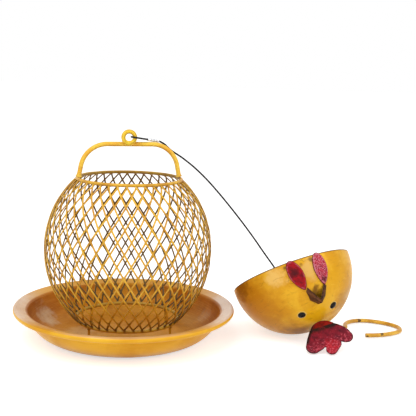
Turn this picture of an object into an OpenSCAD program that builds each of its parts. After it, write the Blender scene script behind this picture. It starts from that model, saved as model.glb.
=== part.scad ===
// Hanging wire bird feeder with a rooster's head for a lid.
// It stands open for filling: the lid is off the cage and lies upside down on the ground.
// Millimetres. The origin is on the ground under the middle of the tray, and +Z is up.

/* [Tray] */
// Outside width of the seed tray
tray_d = 220; // [180:1:260]
// Height of the tray's lip above the ground
tray_h = 31.6; // [26:0.2:42]
// Thickness of the tray's sheet
sheet = 1.2; // [0.8:0.1:1.8]
// Radius of the curve between the tray's floor and its flange
bowl_r = 33.5; // [20:0.5:45]
// Width of the sloping flange, lip included
flange_w = 12.5; // [9:0.5:20]
// How far the flange drops from the lip to the bowl
flange_dip = 2.9; // [1:0.1:6]
// Outside radius of the rolled lip
lip_r = 2.8; // [2.4:0.1:4]

/* [Cage] */
// Width of the cage at its middle
cage_d = 163; // [130:1:200]
// Height that the cage's egg shape would have if it were closed
egg_h = 179.5; // [150:0.5:220]
// Width of the cage's two rings, from wire centre to wire centre
mouth_d = 101.5; // [80:0.5:125]
// Thickness of the wire of the two rings
ring_wire = 3.3; // [2.4:0.1:5]
// Height of the bottom ring's centre above the ground
ring_h = 18.8; // [12:0.2:40]
// How far the cage stands to one side of the tray's middle
cage_shift = 2.7; // [-6:0.1:6]
// Thickness of the four legs' wire
leg_wire = 2.5; // [1.6:0.1:3.2]

/* [Mesh] */
// Strands in each of the two crossing layers
strand_count = 39; // [24:1:44]
// Width of a strand
strand_w = 1.6; // [1:0.1:2.4]
// Thickness of a strand
strand_t = 1; // [0.6:0.1:1.4]
// Turn of a strand round the cage between the two rings
strand_twist = 67; // [40:1:100]
// Clear space between the two layers
layer_gap = 0.1; // [0.05:0.01:0.3]

/* [Handle] */
// Height of the handle's bar over the top ring, centre to centre
handle_rise = 33.7; // [24:0.1:50]
// Distance between the handle's two feet
foot_span = 100; // [90:0.5:106]
// Distance between the points where the legs' lines meet the bar's line
corner_span = 87; // [70:0.5:100]
// Radius of the handle's shoulders
shoulder_r = 26; // [14:0.5:32]
// Thickness of the handle's wire
handle_wire = 4.6; // [3:0.1:6]
// Turn of the handle about the cage's axis
handle_turn = 10; // [0:1:20]
// Thickness of the eye's wire
eye_wire = 4.3; // [3:0.1:4.6]
// Width of the eye from wire centre to wire centre
eye_d = 11.4; // [10.4:0.1:14]
// How far the eye is welded to one side of the bar's middle
eye_shift = -1.8; // [-6:0.1:6]
// Height of the eye's centre over the top of the bar
eye_lift = 4.6; // [3.7:0.1:6.7]

/* [Cable] */
// Thickness of the coated steel cable
cable_d = 1.8; // [1.4:0.1:2.2]
// Clear space between a cable loop and the wire it goes round
loop_gap = 0.45; // [0.4:0.05:0.6]
// Distance from the handle eye's wire to its sleeve
near_loop_len = 14; // [11:0.5:18]
// Length of the sleeve at the handle
near_sleeve_len = 13; // [8:0.5:16]
// Distance from the hook eye's wire to its sleeve
far_loop_len = 8; // [8:0.5:12]
// Length of the sleeve at the hook
far_sleeve_len = 12; // [8:0.5:12]
// Thickness of both sleeves
sleeve_t = 2.8; // [2.4:0.1:3.2]

/* [Lid] */
// Outside radius of the lid's dome
lid_r = 62; // [52:0.5:70]
// Thickness of the dome's sheet
lid_wall = 1.2; // [0.8:0.1:1.8]
// How far the dome goes on past its half
rim_drop = 2.3; // [0:0.1:8]
// Width of the hole that the cable runs through
hole_d = 3.4; // [3.2:0.1:5]

/* [Face] */
// Clear space between the dome and each piece fixed on it
seat_gap = 0.2; // [0.1:0.05:0.5]
// Width of a wattle near the rim
wattle_w = 14.6; // [11:0.2:17]
// Length of a wattle
wattle_len = 32; // [27:0.5:36]
// Thickness of a wattle
wattle_t = 1.8; // [1.2:0.1:3]
// Width of the beak where it meets the dome
beak_w = 25; // [18:0.5:30]
// How far the beak stands out from the dome
beak_out = 9; // [5:0.5:16]
// Thickness of the beak's folded sheet
beak_t = 2.2; // [1.4:0.1:3]
// Width of an eye
pupil_d = 7.6; // [5:0.1:10]
// Height of an eye over the dome
pupil_h = 1.6; // [0.8:0.1:2.6]
// Height of the comb over its fold
comb_h = 33.5; // [24:0.5:34.5]
// Width of the comb over its side lobes
comb_w = 49.8; // [36:0.2:56]
// Thickness of the comb's plate
comb_t = 1.4; // [1:0.1:2]

/* [Hook] */
// Thickness of the hook's wire
hook_wire = 4.5; // [3:0.1:5]
// Width of the hook's own eye from wire centre to wire centre
hook_eye_d = 11.5; // [10.6:0.1:14]
// Length of the straight stem between the eye and the hook's first bend
stem_len = 15.6; // [12:0.2:24]

/* [Hidden] */
$fn = 48;

// Colours of the finishes
gold = [0.86, 0.62, 0.16];
amber = [0.74, 0.50, 0.14];
crimson = [0.62, 0.07, 0.12];
dark_brown = [0.36, 0.21, 0.10];
black = [0.05, 0.05, 0.06];
silver = [0.80, 0.81, 0.83];

// Tray and cage
floor_r = tray_d / 2 - flange_w - bowl_r;
touch = 0.1; // space left between two welded pieces
seam = 0.01; // space between two steps of a bent wire, bridged by its core
egg_a = cage_d / 2;
egg_b = egg_h / 2;
mouth_angle = acos(mouth_d / cage_d);
ring_rise = egg_b * sin(mouth_angle);
egg_z = ring_h + ring_rise;
top_ring_z = egg_z + ring_rise;
strand_slope = strand_twist / (2 * mouth_angle);
strand_stations = 13;
// A strand stops short of the rings' wire, by an angle at the egg's centre
strand_stop = (ring_wire / 2 + strand_w / 4 + 2 * touch) / egg_b * 180 / PI;
strand_end = mouth_angle - strand_stop;

// Places of the legs round the cage, from the front towards the right
leg_angles = [-46, 56, 128, -134];

// Handle and its eye, in a frame that stands on the cage's axis and turns with the handle
bar_z = top_ring_z + handle_rise;
foot_z = ring_wire / 2 + touch;
lean = atan((foot_span - corner_span) / 2 / handle_rise);
shoulder_run = shoulder_r * tan((90 - lean) / 2);
handle_leg_len = (handle_rise - foot_z) / cos(lean) - shoulder_run;
bar_len = corner_span - 2 * shoulder_run;
eye_rise = handle_wire / 2 + eye_lift;
eye_drop = eye_rise - eye_d / 2;
eye_front = sqrt(pow((handle_wire + eye_wire) / 2 + touch, 2) - pow(eye_drop, 2));

// Cable's line where it leaves the handle's eye: its turn backwards and its dip
near_turn = 20;
near_dip = 9;
strand_apart = cable_d / 2 + 0.05;
near_tip_local = near_loop_len + near_sleeve_len;

// Lid: it lies on its dome, tipped towards the viewer and to the right
lid_tip = 31.6;
lid_tip_dir = -54.2;
lid_roll = -63;
lid_axis = [sin(lid_tip) * cos(lid_tip_dir), sin(lid_tip) * sin(lid_tip_dir), -cos(lid_tip)];
hole_at = [189.7, -14.2, lid_r * (1 - cos(lid_tip))];
lid_at = hole_at - lid_r * lid_axis;

// Places of the pieces on the dome: turn down from its top, then turn to one side
comb_down = 22;
comb_left = 2.5; // how far the comb stands to the left of the face's middle
beak_down = 56;
eye_down = 40;
eye_side = 25.3;
wattle_down = 78.2;
wattle_sides = [15, -8.6];
wattle_leans = [12.8, 2.5];
// Share of a wattle's length from its rim end to its widest place, and the curves of its two ends:
// a half ellipse has the powers 2 and 0.5, and the beak end is more pointed
wattle_widest = 0.47;
rim_end_powers = [2, 0.5];
beak_end_powers = [1.6, 0.7];

// Way of the cable through the lid's hole, upwards
cable_up = [-0.516, 0.259, 0.817];

// Hook: its eye rests on the far loop, and its ring on the ground
far_heading = 33.5;
far_dir = [cos(far_heading), sin(far_heading), 0];
sleeve_z = 4.55;
far_tip = [199.15, -11.5, sleeve_z];
far_grip = far_tip + (far_sleeve_len + far_loop_len) * far_dir;
hook_drop = 0.15; // so that the side of the eye in the loop stays level with the cable
hook_at = far_grip + hook_eye_d / 2 * far_dir - [0, 0, hook_drop];
hook_heading = 50.6;
hook_lie = 19.5; // direction from the hook's eye towards the side that touches the ground
hook_reach = 72; // distance that way to the ground
hook_tilt = asin((sleeve_z - hook_drop - hook_wire / 2 - touch) / hook_reach);
// Bends of the hook's wire after its stem: radius and turn, left turns positive
hook_bends = [[7.8, 35], [26, -98.8], [41.5, -34.7], [18.5, -91.8], [62, -38.2]];

// Free cable, from the near sleeve to the far sleeve. The first point and the last stay on
// the sleeves and the straight stretch stays in the lid's hole, whatever their sizes.
near_tip = cage_to_world(eye_place() + eye_line(near_tip_local));
near_next = cage_to_world(eye_place() + eye_line(near_tip_local + 1.5));
route = concat(
    [near_tip, near_next],
    [[36.5, 10.9, 192.8], [40.1, 11.8, 189.5], [44.7, 12.7, 185.7], [55.25, 15, 178.85],
     [68.15, 17.2, 168.8], [81, 18.65, 156.75], [94.1, 19.15, 142.6], [107.1, 18.55, 127.5],
     [119.4, 16.8, 112.5], [130.9, 13.9, 97.6], [140.9, 10.2, 83.9]],
    [for (up = [74, 58, 42, 26, 10, 4, 0.8]) hole_at + up * cable_up],
    [[190.5, -14.35, 8.25], [192.1, -14.4, 6.8], [193.9, -14.05, 5.6], [196.15, -13.25, 4.75],
     far_tip - 0.6 * far_dir, far_tip]);
cable_sides = 8;
cable_step = 4.2;

function unit(v) = v / norm(v);

// Place of the handle eye's centre in the handle's frame, and a point on the cable's line from
// the eye's right-hand wire
function eye_place() = [eye_shift, -eye_front, bar_z + eye_rise];
function eye_line(far) = [eye_d / 2, 0, 0]
    + far * [cos(near_dip) * cos(near_turn), cos(near_dip) * sin(near_turn), -sin(near_dip)];
function cage_to_world(p) = [cage_shift + p[0] * cos(handle_turn) - p[1] * sin(handle_turn),
    p[0] * sin(handle_turn) + p[1] * cos(handle_turn), p[2]];

// A point of the egg at latitude lat and longitude lon, out along its normal
function egg_normal(lat, lon) = unit([cos(lat) * cos(lon) / egg_a, cos(lat) * sin(lon) / egg_a,
    sin(lat) / egg_b]);
function egg_point(lat, lon, out) = [egg_a * cos(lat) * cos(lon), egg_a * cos(lat) * sin(lon),
    egg_b * sin(lat)] + out * egg_normal(lat, lon);

// A strand's four corners at latitude lat, for a strand that starts at longitude lon
function strand_ring(lat, lon, hand, out) =
    let (here = lon + hand * strand_slope * lat,
         centre = egg_point(lat, here, out),
         n = egg_normal(lat, here),
         ahead = egg_point(lat + 0.5, here + hand * strand_slope * 0.5, out) - centre,
         side = unit(cross(n, ahead)))
    [for (c = [[-1, -1], [1, -1], [1, 1], [-1, 1]])
        centre + c[0] * strand_w / 2 * side + c[1] * strand_t / 2 * n];

// Faces of a closed tube with a number of sides and rings, all triangles
function tube_faces(sides, rings) = concat(
    [for (i = [1 : sides - 2]) [0, i, i + 1]],
    [for (r = [0 : rings - 2], i = [0 : sides - 1], half = [0, 1])
        let (a = r * sides + i, b = r * sides + (i + 1) % sides)
        half == 0 ? [a, a + sides, b + sides] : [a, b + sides, b]],
    [for (i = [1 : sides - 2]) [(rings - 1) * sides, (rings - 1) * sides + i + 1,
        (rings - 1) * sides + i]]);

// Smooth curve through points p, from p[i] at t = 0 to p[i + 1] at t = 1
function curve_at(p, i, t) =
    let (a = p[max(i - 1, 0)], b = p[i], c = p[i + 1], d = p[min(i + 2, len(p) - 1)])
    0.5 * (2 * b + t * (c - a) + t * t * (2 * a - 5 * b + 4 * c - d)
        + t * t * t * (3 * b - a - 3 * c + d));
function curve_points(p, step) = concat(
    [for (i = [0 : len(p) - 2], n = [max(1, round(norm(p[i + 1] - p[i]) / step))],
        k = [0 : n - 1]) curve_at(p, i, k / n)],
    [p[len(p) - 1]]);
function along(p, i) = unit(p[min(i + 1, len(p) - 1)] - p[max(i - 1, 0)]);
function tube_rings(p, d, sides) = [for (i = [0 : len(p) - 1])
    let (t = along(p, i), u = unit(cross(t, [0, 1, 0])), v = cross(t, u))
    for (k = [0 : sides - 1])
        p[i] + d / 2 * (cos(360 * k / sides) * u + sin(360 * k / sides) * v)];

// Frames
module at_cage() translate([cage_shift, 0, 0]) children();
module at_handle() at_cage() rotate([0, 0, handle_turn]) children();
module at_near_line() at_handle()
    translate(eye_place() + [eye_d / 2, 0, 0]) rotate([0, near_dip, near_turn]) children();
module at_far_line() translate(far_grip)
    rotate([0, 0, far_heading + 180]) rotate([90, 0, 0]) children();
module at_lid() translate(lid_at)
    rotate([0, 180 - lid_tip, lid_tip_dir]) rotate([0, 0, lid_roll]) children();
// A place on the dome: down from its top towards the face, then to one side
module on_dome(down, side) rotate([0, 0, side]) rotate([down, 0, 0]) children();

// Round wire that starts at the origin along +X and turns in the XY plane. A step is a length,
// or a bend with its radius and turn. A thinner core joins each step to the one before it,
// over a seam too fine to see.
module wire(steps, d, i = 0) {
    if (i < len(steps)) {
        s = steps[i];
        if (i > 0) rotate([0, 90, 0]) cylinder(d = 0.8 * d, h = 0.15 * d, center = true);
        if (len(s) == 1) {
            translate([seam, 0, 0]) rotate([0, 90, 0]) cylinder(d = d, h = s[0] - seam);
            translate([s[0], 0, 0]) wire(steps, d, i + 1);
        } else {
            hand = sign(s[1]);
            turn = abs(s[1]);
            skip = seam / s[0] * 180 / PI;
            mirror([0, hand < 0 ? 1 : 0, 0]) translate([0, s[0], 0]) rotate([0, 0, skip - 90])
                rotate_extrude(angle = turn - skip) translate([s[0], 0]) circle(d = d);
            translate([s[0] * sin(turn), hand * s[0] * (1 - cos(turn)), 0])
                rotate([0, 0, s[1]]) wire(steps, d, i + 1);
        }
    }
}

module torus(across, d) rotate_extrude() translate([across / 2, 0]) circle(d = d);

// Outline of two circles, the second a distance along +Y, with their sides joined by lines
// that run a hair inside the lines that would just touch both
module egg_outline(r1, r2, apart) {
    a = asin((r1 - r2) / apart);
    big = r1 - 0.03;
    small = r2 - 0.03;
    circle(r = r1);
    translate([0, apart]) circle(r = r2);
    polygon([[big * cos(a), big * sin(a)], [small * cos(a), apart + small * sin(a)],
        [-small * cos(a), apart + small * sin(a)], [-big * cos(a), big * sin(a)]]);
}

// Tray's bowl as a filled outline, drawn in by its sheet
module bowl_outline(inset) {
    top = tray_h - flange_dip;
    intersection() {
        translate([0, inset]) square([tray_d, top - inset]);
        union() {
            translate([floor_r, bowl_r]) circle(r = bowl_r - inset, $fn = 96);
            square([floor_r, tray_h]);
            translate([0, bowl_r]) square([floor_r + bowl_r - inset, tray_h]);
        }
    }
}

module tray_floor() color(amber) cylinder(r = floor_r - touch, h = sheet, $fn = 120);

module tray_wall() color(amber) rotate_extrude($fn = 120) difference() {
    bowl_outline(0);
    bowl_outline(sheet);
    square([floor_r, tray_h]);
}

// Sloping flange outside the wall's top, with its edge rolled to a lip
module tray_flange() color(amber) {
    lip_x = tray_d / 2 - lip_r;
    lip_z = tray_h - lip_r;
    bowl_x = tray_d / 2 - flange_w - sheet;
    bowl_z = tray_h - flange_dip;
    slope = atan((tray_h - bowl_z) / (lip_x - bowl_x));
    tangent = [lip_x - lip_r * sin(slope), lip_z + lip_r * cos(slope)];
    start_x = tray_d / 2 - flange_w - 0.2;
    start_z = bowl_z + (start_x - bowl_x) * tan(slope);
    rotate_extrude($fn = 120) {
        polygon([[start_x, start_z - sheet], tangent + [0.4, -0.8], tangent + [-0.1, -0.02],
            [start_x, start_z]]);
        translate([lip_x, lip_z]) difference() {
            circle(r = lip_r);
            circle(r = lip_r - sheet);
            polygon([[0, 0], [-2 * lip_r, -0.4 * lip_r], [-1.2 * lip_r, -2 * lip_r]]);
        }
    }
}

// How far a leg's foot reaches from the tray's axis
function leg_reach(i) = leg_wire / 2 + norm([cage_shift + mouth_d / 2 * sin(leg_angles[i]),
    mouth_d / 2 * cos(leg_angles[i])]);

// A leg stands on the tray's floor, or higher on the curve of its wall where the floor is too narrow
function leg_low(i) = leg_reach(i) < floor_r ? sheet
    : bowl_r - sqrt(pow(bowl_r - sheet, 2) - pow(leg_reach(i) - floor_r, 2)) + touch;

module leg(i) color(gold) at_cage() rotate([0, 0, leg_angles[i]])
    translate([0, -mouth_d / 2, leg_low(i)])
        cylinder(d = leg_wire, h = ring_h - ring_wire / 2 - touch - leg_low(i));

module leg_front_left() leg(0);
module leg_front_right() leg(1);
module leg_back_right() leg(2);
module leg_back_left() leg(3);

module cage_bottom_ring() color(gold) at_cage() translate([0, 0, ring_h])
    torus(mouth_d, ring_wire);

module cage_top_ring() color(gold) at_cage() translate([0, 0, top_ring_z])
    torus(mouth_d, ring_wire);

// One of the two crossing layers: hand is the way its strands turn, out is its place
module strands(hand, out) color(gold) at_cage() translate([0, 0, egg_z])
    for (i = [0 : strand_count - 1])
        polyhedron(
            [for (k = [0 : strand_stations - 1])
                each strand_ring(strand_end * (2 * k / (strand_stations - 1) - 1),
                    360 * i / strand_count - 88, hand, out)],
            tube_faces(4, strand_stations));

module strands_inner() strands(1, -(strand_t + layer_gap) / 2);
module strands_outer() strands(-1, (strand_t + layer_gap) / 2);

module handle() color(gold) at_handle()
    translate([-foot_span / 2 + foot_z * tan(lean), 0, top_ring_z + foot_z])
        rotate([90, -90 + lean, 0])
            wire([[handle_leg_len], [shoulder_r, lean - 90], [bar_len],
                [shoulder_r, lean - 90], [handle_leg_len]], handle_wire);

module handle_eye() color(gold) at_handle() translate(eye_place())
    rotate([90, 0, 0]) torus(eye_d, eye_wire);

// Cable loop round a wire that crosses its plane at the origin, its two ends at the sleeve
module cable_loop(loop_len, wire_d) {
    r = wire_d / 2 + loop_gap + cable_d / 2;
    end = norm([loop_len, strand_apart]);
    converge = asin(r / end) - atan(strand_apart / loop_len);
    lead = touch + cable_d / 2 * sin(converge);
    leg = sqrt(end * end - r * r) - lead;
    translate([loop_len, -strand_apart, 0]) rotate([0, 0, 180 + converge])
        translate([lead, 0, 0])
            wire([[leg], [r, -180 - 2 * converge], [leg]], cable_d);
}

// Pressed sleeve over the two strands, along +X from its first face
module sleeve(sleeve_len) rotate([0, 90, 0]) linear_extrude(sleeve_len) {
    for (y = [-strand_apart, strand_apart]) translate([0, y]) circle(d = sleeve_t);
    square([sleeve_t, 2 * strand_apart], center = true);
}

module near_loop() color(black) at_near_line() cable_loop(near_loop_len, eye_wire);
module near_sleeve() color(silver) at_near_line() translate([near_loop_len, 0, 0])
    sleeve(near_sleeve_len);
module far_loop() color(black) at_far_line() cable_loop(far_loop_len, hook_wire);
module far_sleeve() color(silver) at_far_line() translate([far_loop_len, 0, 0])
    sleeve(far_sleeve_len);

module tether_cable() color(black) {
    line = curve_points(route, cable_step);
    polyhedron(tube_rings(line, cable_d, cable_sides), tube_faces(cable_sides, len(line)));
}

module hanging_hook() color(gold) translate(hook_at) rotate([0, hook_tilt, hook_lie]) {
    torus(hook_eye_d, hook_wire);
    rotate([0, 0, hook_heading - hook_lie]) translate([hook_eye_d / 2, 0, 0])
        wire(concat([[stem_len - hook_eye_d / 2]], hook_bends), hook_wire);
}

module lid_dome() color(gold) at_lid() difference() {
    sphere(r = lid_r, $fn = 96);
    sphere(r = lid_r - lid_wall, $fn = 96);
    translate([0, 0, -rim_drop - lid_r]) cube(2 * lid_r + 2, center = true);
    cylinder(d = hole_d, h = lid_r + 1);
}

// A shell over the dome between two heights, for pieces that lie on it
module over_dome(low, high) difference() {
    sphere(r = lid_r + high, $fn = 96);
    sphere(r = lid_r + low, $fn = 96);
}

// Half width of a wattle at a share s of the way from its widest place to an end
function wattle_half(s, powers) = wattle_w / 2 * pow(1 - pow(s, powers[0]), powers[1]);

module wattle(side, lean) color(crimson) at_lid() intersection() {
    rim_part = wattle_widest * wattle_len;
    beak_part = wattle_len - rim_part;
    steps = 16;
    shares = [for (i = [0 : steps]) sin(90 * i / steps)];
    right_side = concat(
        [for (i = [steps : -1 : 1]) [wattle_half(shares[i], rim_end_powers), -rim_part * shares[i]]],
        [for (s = shares) [wattle_half(s, beak_end_powers), beak_part * s]]);
    left_side = [for (i = [len(right_side) - 2 : -1 : 1]) [-right_side[i][0], right_side[i][1]]];
    over_dome(seat_gap, seat_gap + wattle_t);
    on_dome(wattle_down, side) rotate([0, 0, lean])
        translate([0, rim_part - wattle_len / 2, lid_r - 10]) linear_extrude(20)
            polygon(concat(right_side, left_side));
}

module wattle_left() wattle(wattle_sides[0], wattle_leans[0]);
module wattle_right() wattle(wattle_sides[1], wattle_leans[1]);

// Pointed tent on five corners, drawn in by the sheet's thickness for its hollow
module tent(inset) {
    x = beak_w / 2 + 0.5 - inset;
    back = -8 - 2 * inset;
    low = lid_r - 3;
    corners = [[x, back, low], [x * 0.8, 4, low], [0, 12.3 - 1.5 * inset, low],
        [-x * 0.8, 4, low], [-x, back, low], [0, 5.5 - 1.3 * inset, lid_r + beak_out - inset]];
    polyhedron(corners, [[0, 1, 2], [0, 2, 3], [0, 3, 4], [1, 0, 5], [2, 1, 5], [3, 2, 5],
        [4, 3, 5], [0, 4, 5]]);
}

// Folded sheet: a tent with a smaller one taken out of it from behind, cut to the dome
module beak() color(dark_brown) at_lid() on_dome(beak_down, 0) difference() {
    tent(0);
    tent(beak_t);
    rotate([-beak_down, 0, 0]) sphere(r = lid_r + seat_gap, $fn = 96);
}

module pupil(side) color(black) at_lid() on_dome(eye_down, side) {
    half = pupil_d / 2;
    ball_r = (half * half + pupil_h * pupil_h) / (2 * pupil_h);
    translate([0, 0, lid_r + touch]) intersection() {
        translate([0, 0, pupil_h - ball_r]) sphere(r = ball_r);
        cylinder(d = pupil_d + 1, h = pupil_h + 1);
    }
}

module eye_left() pupil(eye_side);
module eye_right() pupil(-eye_side);

// Comb: a tab that stands on the dome, and a plate with three lobes that is bent from it. A lobe goes
// from an inner circle to an outer one, each given as its middle and its radius. All its points are
// those of a comb of the drawn width and height.
module comb() color(crimson) at_lid() on_dome(comb_down, 0) translate([-comb_left, 0, 0]) {
    drawn = [49.8, 33.5];
    wide = comb_w / drawn[0];
    tall = comb_h / drawn[1];
    least = min(wide, tall);
    tab_h = 6.5;
    tab_r = 16.2;
    bend = 6;
    fold = [-12.2, 14];
    lobes = [[[14, 17.6], 7.2, [19.7, 19.3], 7], [[-1.8, 21.8], 7, [4, 28], 5.5],
        [[-12, 16], 6.6, [-16, 18.4], 7.1]];
    sides = [[fold[0], 0], [fold[1], 0], [18.3, 5.1], [21.8, 9.6], [24.6, 14], [26, 17.4], [19.7, 22],
        [1, 24], [-14, 22], [-22.5, 16.8], [-22.2, 13.4], [-20.8, 9.7], [-18.3, 5.8], [-15.4, 2.6]];
    translate([0, -comb_t / 2, lid_r + seat_gap + tab_h]) {
        rotate([-90, 0, 0]) linear_extrude(comb_t, center = true) intersection() {
            translate([0.6, tab_h - tab_r]) circle(r = tab_r);
            translate([fold[0] * wide, -comb_t / 4])
                square([(fold[1] - fold[0]) * wide, 2 * tab_h]);
        }
        rotate([90 + bend, 0, 0]) linear_extrude(comb_t, center = true) {
            for (lobe = lobes) {
                start = [lobe[0][0] * wide, lobe[0][1] * tall];
                reach = [lobe[2][0] * wide, lobe[2][1] * tall] - start;
                translate(start) rotate(atan2(reach[1], reach[0]) - 90)
                    egg_outline(lobe[1] * least, lobe[3] * least, norm(reach));
            }
            polygon([for (point = sides) [point[0] * wide, point[1] * tall]]);
        }
    }
}

tray_floor();
tray_wall();
tray_flange();
leg_front_left();
leg_front_right();
leg_back_right();
leg_back_left();
cage_bottom_ring();
cage_top_ring();
strands_inner();
strands_outer();
handle();
handle_eye();
near_loop();
near_sleeve();
tether_cable();
far_sleeve();
far_loop();
hanging_hook();
lid_dome();
comb();
beak();
wattle_left();
wattle_right();
eye_left();
eye_right();
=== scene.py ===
import math
import bpy
import bmesh
import numpy as np
from mathutils import Matrix, Vector


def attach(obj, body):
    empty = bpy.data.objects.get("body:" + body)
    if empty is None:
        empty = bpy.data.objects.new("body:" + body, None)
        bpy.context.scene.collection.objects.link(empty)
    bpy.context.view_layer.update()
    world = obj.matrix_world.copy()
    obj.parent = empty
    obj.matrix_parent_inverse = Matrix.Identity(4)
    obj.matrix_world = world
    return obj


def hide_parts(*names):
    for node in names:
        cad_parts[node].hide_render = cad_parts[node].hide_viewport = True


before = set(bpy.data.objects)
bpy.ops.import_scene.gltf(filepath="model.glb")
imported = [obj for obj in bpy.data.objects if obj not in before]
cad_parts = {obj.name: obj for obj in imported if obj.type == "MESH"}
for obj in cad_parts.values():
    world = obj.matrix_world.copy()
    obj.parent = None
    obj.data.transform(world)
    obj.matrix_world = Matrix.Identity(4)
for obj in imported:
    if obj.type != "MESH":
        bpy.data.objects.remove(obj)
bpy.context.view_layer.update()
print("frame loaded")

mm = 0.001  # shapes are worked out in millimetres, and meshes are in metres

# camera, as the photograph was taken
cameraFacts = {
    "place": (0.0, -853.76, 272.99),  # millimetres
    "lens": 75.69,
    "sensor": 36.0,
    "clip": (0.05, 20),  # metres
    "pitch": 0.1639,  # radians down
    "yaw": 0.0945,  # radians towards +X
    "roll": 0.0325,
}


def addObject(name, data):
    # An object in the scene that shows its data
    thing = bpy.data.objects.new(name, data)
    bpy.context.collection.objects.link(thing)
    return thing


def makeCamera(facts):
    # The camera looks along the yaw and pitch, and its right and up are turned by the roll.
    yaw, pitch, roll = facts["yaw"], facts["pitch"], facts["roll"]
    ahead = np.array([math.sin(yaw) * math.cos(pitch), math.cos(yaw) * math.cos(pitch), -math.sin(pitch)])
    level = np.array([math.cos(yaw), -math.sin(yaw), 0.0])
    top = np.cross(level, ahead)
    right = level * math.cos(roll) + top * math.sin(roll)
    up = -level * math.sin(roll) + top * math.cos(roll)
    data = bpy.data.cameras.new("viewCamera")
    data.lens = facts["lens"]
    data.sensor_width = facts["sensor"]
    data.clip_start, data.clip_end = facts["clip"]
    place = Matrix(np.column_stack([right, up, -ahead]).tolist()).to_4x4()
    place.translation = [v * mm for v in facts["place"]]
    camera = addObject("viewCamera", data)
    camera.matrix_world = place
    bpy.context.scene.camera = camera


makeCamera(cameraFacts)


# shapes as arrays
def turned(axis, degrees):
    # Rotation matrix about one axis
    return np.array(Matrix.Rotation(math.radians(degrees), 3, axis))


def placed(points, matrix, shift=(0, 0, 0)):
    # Each point turned by the matrix, then moved
    return points @ matrix.T + shift


def unitRows(vectors):
    # Each vector divided by its own length
    return vectors / np.linalg.norm(vectors, axis=-1, keepdims=True)


def hump(value, width):
    # Bell curve that is 1 at 0 and falls off over the width
    return np.exp(-(value / width) ** 2)


def ramp01(value, low, high):
    # 0 below low, 1 above high, and an S curve between them
    t = np.clip((value - low) / (high - low), 0, 1)
    return t * t * (3 - 2 * t)


def offBeat(value, period):
    # How far a value lies past the nearest whole number of periods
    return (value + period / 2) % period - period / 2


def roundAngles(count, shift=0.0):
    # Angles spread evenly round a circle
    return 2 * math.pi * (np.arange(count) + shift) / count


def ripples(points, seed, size):
    # Sum of sine waves that run in fixed random directions, between about -1 and 1
    waves = np.random.default_rng(seed).normal(size=(7, 3))
    waves = unitRows(waves) * (2 * math.pi / size) * np.linspace(0.7, 1.6, 7)[:, None]
    phase = np.random.default_rng(seed + 1).uniform(0, 6.28, 7)
    return np.sin(points @ waves.T + phase).sum(-1) / 3.2


def joined(*lines):
    # Arrays one after the other
    return np.concatenate(lines)


def stacked(*columns):
    # Points from their coordinates, each an array or one number
    return np.stack(np.broadcast_arrays(*columns), -1)


def lengthAlong(line):
    # Distance along a line at each of its points
    return joined([0], np.cumsum(np.linalg.norm(np.diff(line, axis=0), axis=1)))


def spread(line, spacing):
    # The same line with its points a fixed distance apart, measured along it
    along = lengthAlong(line)
    steps = np.linspace(0, along[-1], max(2, int(round(along[-1] / spacing)) + 1))
    return stacked(*(np.interp(steps, along, column) for column in line.T))


def smoothLine(points, perStep=12):
    # Catmull-Rom curve: each step blends four neighbouring points with cubic weights
    p = np.array([points[0], *points, points[-1]], float)
    t = (np.arange(perStep) / perStep)[None, :, None]
    a, b, c, d = (p[k:len(p) - 3 + k][:, None, :] for k in range(4))
    line = 2 * b + t * (c - a) + t ** 2 * (2 * a - 5 * b + 4 * c - d) + t ** 3 * (3 * b - a - 3 * c + d)
    return np.vstack([0.5 * line.reshape(-1, 3), p[-1:]])


def bentLine(steps, spacing):
    # Line in a plane that starts at the origin along +X. A step is a length, or a radius and degrees.
    place, heading, runs = np.zeros(2), 0.0, [np.zeros((1, 2))]
    for size, *turns in steps:
        c, s = math.cos(heading), math.sin(heading)
        if turns:
            turn = math.radians(turns[0])
            a = np.linspace(0, abs(turn), max(3, round(size * abs(turn) / spacing)) + 1)[1:]
            arc = stacked(size * np.sin(a), math.copysign(size, turn) * (1 - np.cos(a)))
            runs.append(place + arc @ np.array([[c, s], [-s, c]]))
            heading += turn
        else:
            t = np.linspace(0, 1, max(1, round(size / spacing)) + 1)[1:, None]
            runs.append(place + t * size * np.array([c, s]))
        place = runs[-1][-1]
    return stacked(*np.concatenate(runs).T, 0.0)


def closedOutline(points, count):
    # A closed line with its points spread evenly
    points = joined(points, points[:1])
    return spread(points, lengthAlong(points)[-1] / count)[:-1][:count]


def tubeAlong(path, radii, across, loops=False):
    # Rings of points along a path, with a radius for each point. A ring stands square to the path, and
    # starts from the side nearest across.
    before, after = np.roll(path, 1, axis=0), np.roll(path, -1, axis=0)
    if not loops:
        before[0], after[-1] = path[0], path[-1]
    ahead = unitRows(after - before)
    across = np.broadcast_to(np.asarray(across, float), path.shape)
    side = unitRows(across - (across * ahead).sum(-1, keepdims=True) * ahead)
    other = np.cross(ahead, side)
    angle = roundAngles(radii.shape[1])[:, None]
    way = np.cos(angle) * side[:, None] + np.sin(angle) * other[:, None]
    return path[:, None] + radii[..., None] * way


def gridQuads(rows, columns, rowsClose=False, columnsClose=True):
    # Quads between neighbouring rows and columns of a grid of points
    r, c = np.meshgrid(np.arange(rows if rowsClose else rows - 1),
                       np.arange(columns if columnsClose else columns - 1), indexing="ij")
    below, beside = (r + 1) % rows, (c + 1) % columns
    return stacked(r * columns + c, r * columns + beside,
                   below * columns + beside, below * columns + c).reshape(-1, 4)


def overGrid(value, grid):
    # A value for each row or column, given to every point of the grid
    return np.broadcast_to(value, grid.shape[:2] + value.shape[2:])


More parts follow.
